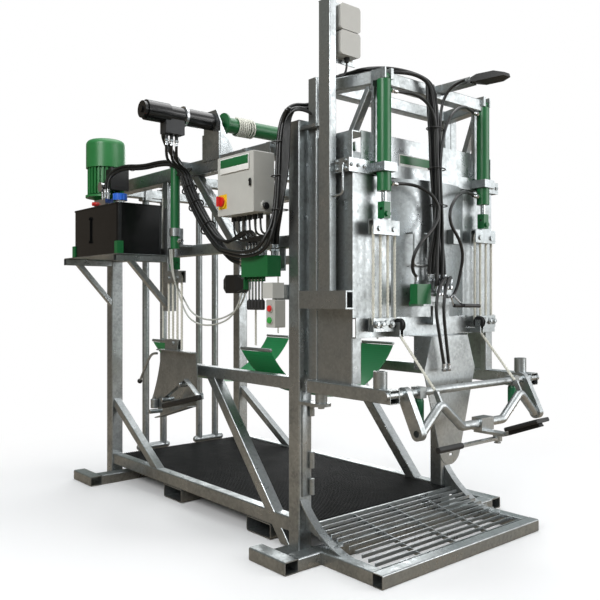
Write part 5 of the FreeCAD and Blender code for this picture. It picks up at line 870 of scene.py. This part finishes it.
def gate_route(dy, port_y):
    """From the crossbeam down the curved sheet to the valve's ports."""
    return packed([(446, -100 + dy, 2196), (446, -92 + dy, 2080), (446, -78 + dy, 1950),
                   (446, -72 + dy, 1800), (446, -50 + dy, 1640), (446, -38 + dy, 1480),
                   (443.3, port_y, 1370), (443.3, port_y, 1276)])


def unit_route(d):
    """From the tank's ports into the winch's bundle, past the control box, up and over to the gate."""
    down = side_route(-38, 4 + 1000 * d)[4:9]
    return [(-1.636 + 1.9 * d, -0.823, 1.850), (-1.634 + 1.9 * d, -0.823, 1.905),
            (-1.600 + d, -0.800, 1.960 - d), (-1.500, -0.770, 1.985 - d), (-1.320, -0.745, 1.960 - d),
            (-1.180, -0.715, 1.968 - d), (-1.105, -0.680, 1.965 - d)] + down + [
            (-0.560, -0.690 - d, 1.425 + d), (-0.400, -0.702 - d, 1.396 + d),
            (-0.265, -0.700 - d, 1.405 + d), (-0.205 - d, -0.690 - d, 1.450 + d),
            (-0.186 - d, -0.664, 1.560), (-0.182 - d, -0.648, 1.750),
            (-0.186 - d, -0.640, 1.930), (-0.176 - d, -0.624, 2.050), (-0.166 - d, -0.570, 2.098 + d),
            (-0.156, -0.480, 2.100 + d), (-0.146, -0.400, 2.160 + d), (-0.100, -0.366, 2.248 + d),
            (0.000, -0.372, 2.238 + d), (0.110, -0.380, 2.234 + d), (0.200, -0.300, 2.232 + d),
            (0.246, -0.180 + d, 2.236), (0.284, -0.118 + d, 2.190), (0.292, -0.104 + d, 2.080),
            (0.292, -0.098 + d, 1.960), (0.292, -0.092 + d, 1.800), (0.290, -0.084 + d, 1.640),
            (0.285, -0.098 + d, 1.500), (0.267, -0.110 + 1.5 * d, 1.380), (0.267, -0.110 + 1.5 * d, 1.308)]


def feed_route(port_y, bank_x, dy, d):
    """From a port under the winch's valve block, with the bundle, down to a port on the bank."""
    down = side_route(dy, d)[4:9]
    return [(-0.876, port_y, 1.998), (-0.880, port_y, 1.955), (-0.960, port_y + 0.06, 1.925)] + down + [
        (bank_x - 0.150, -0.650, 1.492), (bank_x - 0.010, -0.653, 1.545), (bank_x, -0.653, 1.448)]


def cable_route(i):
    """From a gland of the control box down and along to the rising bundle."""
    x = -0.551 + 0.044 * i
    return [(x, -0.644, 1.584), (x, -0.644, 1.545), (x + 0.02, -0.650, 1.512),
            (x + 0.075, -0.662, 1.478 + 0.004 * i), (-0.245 + 0.004 * i, -0.668, 1.470 + 0.006 * i),
            (-0.192 + 0.003 * i, -0.665, 1.520 + 0.006 * i), (-0.168 + 0.003 * i, -0.652, 1.640),
            (-0.158 + 0.004 * i, -0.648 + 0.004 * i, 1.800),
            (-0.162 + 0.004 * i, -0.640 + 0.004 * i, 1.960), (-0.150, -0.628 + 0.004 * i, 2.050),
            (-0.100, -0.590, 2.078 + 0.004 * i), (-0.075, -0.540, 2.052)]


def air_route(i, y, drop):
    """From under the valve bank in a loop to the front lift's cylinder."""
    return [(-0.480, y, 1.224), (-0.490, y, 1.190), (-0.560, y, 1.130 - drop), (-0.700, y, 1.085 - drop),
            (-0.860, y, 1.080 - drop), (-0.990, y, 1.120 - drop), (-1.062, y - 0.004, 1.200),
            (-1.096 + 0.02 * i, -0.690, 1.330), (-1.096 + 0.02 * i, -0.694, 1.470)]


# Places of the hoses in their bundles and at their ports, for the routes above
BUNDLE = ((0, 0), (0, 18), (-18, 4), (-18, 22))
RISING = ((0, 0), (0, 23), (-20, 8))
DROPS = ((-28, -54), (-9, -26), (10, 2))
FEEDS = ((-0.784, -0.406, 0, 40), (-0.814, -0.380, -18, 44), (-0.844, -0.354, -38, 46))
AIR_LINES = ((-0.626, 0.0), (-0.648, 0.028))
UP = (0, 0, 1)


BRANCHES = (
    ("near_upper", "gate", [(0.224, -0.312, 2.138), (0.226, -0.265, 2.140), (0.256, -0.190, 2.138),
                            (0.296, -0.140, 2.090), (0.308, -0.108, 2.000), (0.309, -0.104, 1.850),
                            (0.308, -0.092, 1.680), (0.306, -0.086, 1.560), (0.304, -0.100, 1.400),
                            (0.302, -0.100, 1.280), (0.300, -0.100, 1.248)]),
    ("far_upper", "gate", [(0.224, 0.312, 2.138), (0.228, 0.262, 2.142), (0.256, 0.180, 2.146),
                           (0.290, 0.070, 2.110), (0.308, -0.030, 2.030), (0.311, -0.072, 1.920),
                           (0.309, -0.084, 1.800), (0.308, -0.072, 1.660), (0.306, -0.062, 1.540),
                           (0.304, -0.058, 1.400), (0.302, -0.060, 1.280), (0.300, -0.060, 1.248)]),
    ("near_lower", "gate", [(0.224, -0.312, 1.717), (0.228, -0.262, 1.722), (0.262, -0.190, 1.716),
                            (0.310, -0.125, 1.670), (0.322, -0.096, 1.590), (0.320, -0.150, 1.508),
                            (0.312, -0.228, 1.448), (0.296, -0.262, 1.380), (0.272, -0.235, 1.312),
                            (0.271, -0.205, 1.296)]),
    ("far_lower", "gate", [(0.224, 0.312, 1.717), (0.228, 0.262, 1.726), (0.262, 0.160, 1.722),
                           (0.308, 0.040, 1.680), (0.322, -0.030, 1.610), (0.322, -0.022, 1.540),
                           (0.318, 0.052, 1.478), (0.306, 0.098, 1.405), (0.286, 0.098, 1.310),
                           (0.271, 0.088, 1.232), (0.270, 0.062, 1.208)]),
    ("lower_feed_1", "gate", [(0.299, -0.020, 1.290), (0.318, -0.045, 1.300), (0.332, -0.120, 1.250),
                              (0.336, -0.150, 1.150), (0.342, -0.130, 1.030), (0.344, -0.108, 0.930),
                              (0.344, -0.100, 0.895)]),
    ("lower_feed_2", "gate", [(0.299, 0.010, 1.290), (0.322, -0.020, 1.305), (0.344, -0.085, 1.250),
                              (0.350, -0.112, 1.150), (0.348, -0.092, 1.030), (0.344, -0.070, 0.930),
                              (0.344, -0.064, 0.895)]),
)
ARM_CABLE = [(0.420, -0.040, 2.196), (0.370, -0.046, 2.190), (0.320, -0.056, 2.150), (0.300, -0.066, 2.080),
             (0.300, -0.072, 1.980), (0.292, -0.076, 1.880), (0.288, -0.070, 1.700), (0.286, -0.062, 1.550),
             (0.284, -0.066, 1.400), (0.290, -0.080, 1.285), (0.298, -0.080, 1.250)]


def chassis_ends(radius):
    """The crimped ends of the hoses on the chassis."""
    ends = []
    for place in BUNDLE:
        route = side_route(*place)
        ends.extend(crimped((-0.4665, *route[-1][1:]), (-1, 0, 0), radius))
        ends.extend(crimped((-0.9255, *route[0][1:]), (-1, 0, 0), radius))
    for place in RISING:
        x, y, z = rise_route(*place)[0]
        ends.extend(crimped((x, y, 1.4195), UP, radius))
    for i in range(5):
        for y in (-0.653, -0.617):
            ends.extend(crimped((-0.432 + 0.026 * i, y, 1.4215), UP, 0.0062, 0.026))
    for x in (-1.636, -1.602):
        ends.extend(crimped((x, -0.823, 1.8175), UP, radius))
    for z in (1.515, 1.892):
        ends.extend(crimped((-1.0665, -0.655, z), (1, 0, 0), radius, 0.030))
    for y in (-0.844, -0.814, -0.784):
        ends.extend(crimped((-0.876, y, 2.0285), (0, 0, -1), 0.007, 0.030))
    return ends


def gate_ends(radius):
    """The crimped ends of the hoses on the gate, some in small blocks of their own."""
    ends = []
    for y in (-0.110, -0.082, -0.054, -0.026, 0.002):
        ends.extend(crimped((0.267, y, 1.2755), UP, radius))
    for side in (-1, 1):
        for z in (1.717, 2.138):
            ends.extend(crimped((0.224, side * 0.3265, z), (0, -side, 0), 0.9 * radius, 0.040))
    for y in (-0.100, -0.060, -0.080):
        ends.extend(crimped((0.300, y, 1.222), UP, 0.75 * radius, 0.028))
        ends.append(block((0.286, y - 0.007, 1.206), (0.307, y + 0.007, 1.223), 0.002))
    for y in (-0.020, 0.010):
        ends.extend(crimped((0.299, y, 1.2555), UP, 0.75 * radius, 0.036))
        ends.append(block((0.286, y - 0.008, 1.238), (0.307, y + 0.008, 1.2565), 0.002))
    ends.extend(crimped((0.271, -0.205, 1.2615), UP, 0.85 * radius))
    ends.extend(crimped((0.270, 0.0305, 1.208), (0, 1, 0), 0.85 * radius, 0.032))
    for y in (-0.100, -0.064):
        ends.extend(crimped((0.344, y, 0.860), UP, 0.85 * radius, 0.036))
    return ends


def chassis_bands():
    """Cable ties along the winch's bundle, the rising one and the power unit's hoses."""
    middle = [Vector(point) for point in side_route(-19, 23)]
    ties = [band(middle[i], middle[i + 1] - middle[i - 1], 0.040, 0.044) for i in range(4, 8)]
    for place in ((-0.196, -0.634, 1.610), (-0.200, -0.630, 1.770), (-0.202, -0.626, 1.930)):
        ties.append(band(place, (0.02, 0, 1), 0.036, 0.044))
    ties.append(band((-1.420, -0.760, 1.962), (1, 0.1, 0), 0.024, 0.018))
    return ties


class CHUTE_OT_hoses(bpy.types.Operator):
    """Run the black hydraulic hoses of the chassis and the gate, with their fittings and ties."""
    bl_idname = "chute.hoses"
    bl_label = "Hoses"

    def execute(self, context):
        cover = painted("hydraulic hose cover", moulded(tuple(colours().rubber), 0.34))
        plated = painted("zinc plated hose fitting", turned_steel)
        nylon = painted("black nylon tie", moulded(linear("#141516"), 0.4))
        grey = painted("grey nylon air line", moulded(linear("#a9aca6"), 0.4))
        radius = sizes().hose_r
        for name, body, routes, node in (
                ("winch_hose_", "frame", [side_route(*place) for place in BUNDLE], "side_hoses"),
                ("rising_hose_", "frame", [rise_route(*place) for place in RISING], "side_hoses"),
                ("gate_hose_", "gate", [gate_route(*place) for place in DROPS], "gate_hoses")):
            for i, route in enumerate(routes):
                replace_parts(hose(name + str(i + 1), route, body, cover, radius), node)
        for i in range(2):
            crossing_hose("unit_hose_%d" % (i + 1), unit_route(0.018 * i), ("frame", "gate"),
                          cover, radius)
        for i, place in enumerate(FEEDS):
            hose("feed_hose_%d" % (i + 1), feed_route(*place), "frame", cover, 0.85 * radius)
        crossing_hose("arm_hose", ARM_CABLE, ("arm", "gate"),
                      cover, 0.75 * radius)
        for name, body, line in BRANCHES:
            hose(name + "_hose", line, body, cover, 0.85 * radius)
        for i in range(6):
            hose("control_cable_%d" % (i + 1), cable_route(i), "frame", cover, 0.0052)
        for i, (y, drop) in enumerate(AIR_LINES):
            hose("air_line_%d" % (i + 1), air_route(i, y, drop), "frame", grey, 0.0045)
        joined(chassis_ends(radius), "chassis_hose_ends", "frame", plated)
        joined(gate_ends(radius), "gate_hose_ends", "gate", plated)
        joined(chassis_bands(), "chassis_ties", "frame", nylon, 60.0)
        gathers = [band((0.289, -0.094 + 0.012 * i, z), (0, 0.05, 1), 0.036, 0.044)
                   for i, z in enumerate((1.985, 1.800, 1.630))]
        joined(gathers, "gate_ties", "gate", nylon, 60.0)
        return {"FINISHED"}


def flat_bar(start, end, wide, thick, edge=0.0015):
    """A flat bar from one point to another, its width across Y, its thickness square to both."""
    start, end = Vector(start), Vector(end)
    run = end - start
    pitch = -math.atan2(run.z, run.x)
    middle = (start + end) / 2
    half = Vector((run.length / 2, wide / 2, thick / 2))
    return block(middle - half, middle + half, edge, (0, pitch, 0))

# Outlines of small turned pieces, as pairs of radius and height in metres
LOCK = [(0, 0), (0.0055, 0), (0.006, 0.001), (0.006, 0.004), (0.004, 0.005), (0, 0.005)]
PLUG = [(0, 0), (0.017, 0), (0.018, 0.001), (0.018, 0.007), (0.015, 0.010), (0.006, 0.010),
        (0.006, 0.016), (0, 0.016)]
GLAND = [(0, 0), (0.013, 0), (0.014, 0.001), (0.014, 0.010), (0.011, 0.012), (0.011, 0.022),
         (0.006, 0.026)]
HUB = [(0, 0), (0.0155, 0), (0.0165, 0.001), (0.0165, 0.008), (0.0135, 0.011), (0.009, 0.011),
       (0.009, 0.016), (0, 0.017)]
BOLT = [(0, 0), (0.009, 0), (0.0095, 0.0008), (0.0095, 0.006), (0.008, 0.0068), (0.0045, 0.0068),
        (0.0045, 0.011), (0, 0.0115)]
KNUCKLE = [(0, 0), (0.0125, 0), (0.0135, 0.001), (0.0135, 0.034), (0.0125, 0.035), (0.011, 0.035),
           (0.011, 0.037), (0.0125, 0.037), (0.0135, 0.038), (0.0135, 0.075), (0.0125, 0.076), (0, 0.076)]
PIN = [(0, 0), (0.012, 0), (0.0125, 0.001), (0.0125, 0.074), (0.0115, 0.075), (0, 0.075)]
SOCKET = [(0, 0), (0.019, 0), (0.021, 0.002), (0.021, 0.050), (0.019, 0.052), (0.010, 0.052),
          (0.010, 0.066), (0, 0.068)]
KNOB = [(0, 0), (0.008, 0.0005), (0.0135, 0.006), (0.0150, 0.013), (0.0130, 0.021), (0.0075, 0.026),
        (0, 0.027)]


def bare_plates():
    """The door's and the gate's label plates, white with a green band and no words."""
    white = painted("white enamelled plate", enamel(linear("#e9ebe8"), 0.3))
    green = painted("green enamelled plate", enamel(tuple(colours().green), 0.3))
    for name, body, plate, strip in (
            ("door_plate", "door", box(-0.560, -0.322, -0.7225, -0.7207, 1.812, 1.886),
             box(-0.556, -0.326, -0.7231, -0.7221, 1.840, 1.882)),
            ("gate_plate", "gate", box(0.1728, 0.1750, -0.215, 0.030, 1.798, 1.872),
             box(0.1746, 0.1756, -0.210, 0.025, 1.828, 1.867))):
        joined([block(*plate, 0.0006)], name, body, white)
        joined([block(*strip, 0.0004)], name + "_band", body, green)


def bent_rod(name, body, points, radius, zinc):
    """A round steel rod along a route."""
    rod = settle(curve_line(name, points, radius), name, body, zinc)


def gate_fittings(zinc):
    """Roller hubs on the lower blocks, and bolts on the rail and the clamp plate."""
    rollers = [turned(HUB, (0.2408, side * y, 1.080), (1, 0, 0), 24)
               for side in (-1, 1) for y in (0.343, 0.404, 0.438)]
    joined(rollers, "lower_block_hubs", "gate", zinc)
    bolts = [turned(BOLT, (0.1885, y, 1.782), (1, 0, 0), 6)
             for y in (-0.54, -0.50, -0.46, 0.46, 0.50, 0.54)]
    bolts.extend(turned(BOLT, (x, -0.5568, z), (0, -1, 0), 6) for x in (0.112, 0.168)
                 for z in (1.765, 1.799))
    joined(bolts, "gate_bolts", "gate", zinc)


def board_clamp(zinc, rubber, black):
    """The foot clamp under the near leg board: bars, pins, pad, lever and knob."""
    bars = [flat_bar((-1.100, -0.735, 0.636), (-0.863, -0.735, 0.766), 0.030, 0.007),
            flat_bar((-0.866, -0.735, 0.768), (-0.742, -0.735, 0.694), 0.030, 0.007),
            flat_bar((-1.232, -0.686, 0.516), (-0.882, -0.686, 0.616), 0.060, 0.006),
            flat_bar((-1.110, -0.712, 0.600), (-0.735, -0.712, 0.690), 0.012, 0.034)]
    for x, z in ((-1.060, 0.640), (-0.880, 0.738), (-1.190, 0.560)):
        bars.append(turned(PIN, (x, -0.6945, z), (0, -1, 0)))
    bars.append(turned(SOCKET, (-1.296, -0.682, 0.560), UP, 24))
    joined(bars, "leg_board_clamp", "frame", zinc)
    joined([flat_bar((-1.070, -0.751, 0.604), (-0.700, -0.751, 0.690), 0.026, 0.026, 0.007)],
           "leg_board_pad", "frame", rubber)
    bent_rod("leg_board_lever", "frame",
             [(-1.252, -0.688, 0.880), (-1.290, -0.694, 0.880), (-1.326, -0.698, 0.850),
              (-1.380, -0.700, 0.780), (-1.434, -0.700, 0.708)], 0.007, zinc)
    joined([turned(KNOB, (-1.428, -0.700, 0.716), (-0.6, 0, -0.8), 20)], "leg_board_knob", "frame",
           black)


class CHUTE_OT_trim(bpy.types.Operator):
    """Add the small steel and moulded pieces: plates, plug, hinge, rod and the leg board's clamp."""
    bl_idname = "chute.trim"
    bl_label = "Small pieces"

    def execute(self, context):
        zinc = painted("galvanised small pieces", galvanised)
        black = painted("black moulded pieces", moulded(linear("#0b0c0d"), 0.4))
        rubber = painted("black rubber pad", moulded(tuple(colours().rubber), 0.5))
        bare_plates()
        joined([block((-0.320, -0.7235, 1.730), (-0.304, -0.7205, 1.766), 0.001),
                turned(LOCK, (-0.312, -0.7232, 1.756), (0, -1, 0))],
               "door_lock", "door", black)
        joined([turned(PLUG, (-0.2822, -0.650, 1.637), (1, 0, 0), 24)], "cabinet_plug", "frame",
               black)
        joined([turned(GLAND, (0.070, -0.455, 2.2965), (0, 0, -1), 6)], "sensor_gland", "gate",
               black)
        hose("sensor_cable", [(0.070, -0.455, 2.274), (0.070, -0.455, 2.236), (0.068, -0.480, 2.205),
                              (0.062, -0.520, 2.200), (0.060, -0.544, 2.200)], "gate", black, 0.005)
        gate_fittings(zinc)
        hinge = [block((-0.1362, -0.549, 0.262), (-0.1300, -0.501, 0.760), 0.001)]
        hinge.extend(turned(KNUCKLE, (-0.1215, -0.499, z), UP) for z in (0.268, 0.394, 0.640))
        joined(hinge, "post_hinge", "frame", zinc)
        bent_rod("gate_rod", "gate",
                 [(0.157, -0.5585, 1.790), (0.157, -0.5640, 1.770), (0.157, -0.5640, 1.710),
                  (0.157, -0.5640, 1.655), (0.120, -0.5640, 1.650), (0.060, -0.5640, 1.650)], 0.0055, zinc)
        board_clamp(zinc, rubber, black)
        return {"FINISHED"}


def floor_skin():
    """Pale to the eye and white far out; reflections and bounced light meet the yard's brown ground."""
    made = bpy.data.materials.new("pale floor")
    made.use_nodes = True
    tree = made.node_tree
    tree.nodes.clear()
    seen = add(tree, "LightPath").outputs["Is Camera Ray"]
    tint = add(tree, "Mix", {"data_type": "RGBA", 6: linear("#a39685"), 7: linear("#f6f6f6")},
               {0: seen})
    matt = add(tree, "BsdfDiffuse", links={"Color": tint.outputs[2]})
    place = add(tree, "TexCoord").outputs["Object"]
    off = add(tree, "VectorMath", {"operation": "DISTANCE", 1: FLOOR_MIDDLE}, {0: place})
    far = add(tree, "MapRange",
              {"interpolation_type": "SMOOTHSTEP", "From Min": PALE_WITHIN, "From Max": WHITE_BEYOND},
              {"Value": off.outputs["Value"]})
    out = add(tree, "Math", {"operation": "MULTIPLY"}, {0: far.outputs[0], 1: seen})
    white = add(tree, "Emission", {"Color": (1, 1, 1, 1), "Strength": 1.0})
    mixed = add(tree, "MixShader",
                links={0: out.outputs[0], 1: matt.outputs[0], 2: white.outputs[0]})
    add(tree, "OutputMaterial", links={"Surface": mixed.outputs[0]})
    return made


def shed_sky():
    """White behind the object; what it mirrors is a dim shed, brown low down, open towards +X and above."""
    sky = bpy.data.worlds.new("studio")
    sky.use_nodes = True
    tree = sky.node_tree
    tree.nodes.clear()
    way = add(tree, "TexCoord").outputs["Generated"]
    lean = add(tree, "VectorMath", {"operation": "DOT_PRODUCT", 1: (0.42, 0.30, 0.95)}, {0: way})
    trees = add(tree, "TexNoise", {"Scale": 4.5, "Detail": 4.0, "Roughness": 0.6}, {"Vector": way})
    mix = add(tree, "Math", {"operation": "MULTIPLY_ADD", 1: 0.55},
              {0: trees.outputs["Fac"], 2: lean.outputs["Value"]})
    ramp = add(tree, "ValToRGB", links={0: mix.outputs[0]})
    stops = ramp.color_ramp.elements
    stops[0].position, stops[0].color = 0.05, linear("#7d7468")
    stops[1].position, stops[1].color = 1.0, linear("#ffffff")
    for position, code in ((0.30, "#6a736b"), (0.52, "#8d9895"), (0.76, "#c9d3d7")):
        stops.new(position).color = linear(code)
    mirrored = add(tree, "Background", {"Strength": 1.0}, {"Color": ramp.outputs[0]})
    soft = add(tree, "Background", {"Color": linear("#e9edf0"), "Strength": 0.42})
    white = add(tree, "Background", {"Color": (1, 1, 1, 1), "Strength": 1.0})
    rays = add(tree, "LightPath")
    lit = add(tree, "MixShader", links={0: rays.outputs["Is Glossy Ray"], 1: soft.outputs[0],
                                                  2: mirrored.outputs[0]})
    clear = add(tree, "Math", {"operation": "MAXIMUM"},
                {0: rays.outputs["Is Camera Ray"], 1: rays.outputs["Is Transmission Ray"]})
    mixed = add(tree, "MixShader",
                links={0: clear.outputs[0], 1: lit.outputs[0], 2: white.outputs[0]})
    add(tree, "OutputWorld", links={"Surface": mixed.outputs[0]})
    return sky


class CHUTE_OT_stage(bpy.types.Operator):
    """Set the pale floor, the soft lamps, the sky and the camera."""
    bl_idname = "chute.stage"
    bl_label = "Stage"

    def execute(self, context):
        fresh()
        bpy.ops.mesh.primitive_plane_add(size=60.0, location=(0, 0, -0.0005))
        floor = context.object
        floor.name = "floor"
        floor.data.materials.append(floor_skin())
        for name, place, aim, size, power in LAMPS:
            lamp = bpy.data.lights.new(name, "AREA")
            lamp.size = size
            lamp.energy = power
            held = bpy.data.objects.new(name, lamp)
            held.location = place
            held.rotation_euler = (Vector(aim) - Vector(place)).to_track_quat("-Z", "Y").to_euler()
            context.scene.collection.objects.link(held)
        context.scene.world = shed_sky()
        camera = bpy.data.cameras.new("camera")
        camera.lens = sizes().lens
        camera.sensor_width = 36.0
        camera.shift_y = -0.0026
        held = bpy.data.objects.new("camera", camera)
        held.location = CAMERA_PLACE
        held.rotation_euler = Vector(CAMERA_WAY).to_track_quat("-Z", "Y").to_euler()
        context.scene.collection.objects.link(held)
        context.scene.camera = held
        context.scene.view_settings.view_transform = "Standard"
        return {"FINISHED"}


OPERATORS = (CHUTE_OT_stage, CHUTE_OT_steelwork, CHUTE_OT_lifts, CHUTE_OT_power, CHUTE_OT_controls,
             CHUTE_OT_ropes, CHUTE_OT_slings, CHUTE_OT_mat, CHUTE_OT_hoses, CHUTE_OT_trim)


class CHUTE_PT_panel(bpy.types.Panel):
    """Lists the chute's pieces, sizes and colours."""
    bl_idname = "CHUTE_PT_panel"
    bl_label = "Hoof trimming chute"
    bl_space_type = "VIEW_3D"
    bl_region_type = "UI"
    bl_category = "Chute"

    def draw(self, context):
        for operator in OPERATORS:
            self.layout.operator(operator.bl_idname)
        for group in (context.scene.chute_sizes, context.scene.chute_colours):
            for key in group.__annotations__:
                self.layout.prop(group, key)


CLASSES = (ChuteColours, ChuteSizes) + OPERATORS + (CHUTE_PT_panel,)


def register():
    for made in CLASSES:
        bpy.utils.register_class(made)
    bpy.types.Scene.chute_colours = bpy.props.PointerProperty(type=ChuteColours)
    bpy.types.Scene.chute_sizes = bpy.props.PointerProperty(type=ChuteSizes)


def unregister():
    del bpy.types.Scene.chute_sizes
    del bpy.types.Scene.chute_colours
    for made in reversed(CLASSES):
        bpy.utils.unregister_class(made)


def main():
    register()
    for operator in OPERATORS:
        group, name = operator.bl_idname.split(".")
        getattr(getattr(bpy.ops, group), name)()


if __name__ == "__main__":
    main()
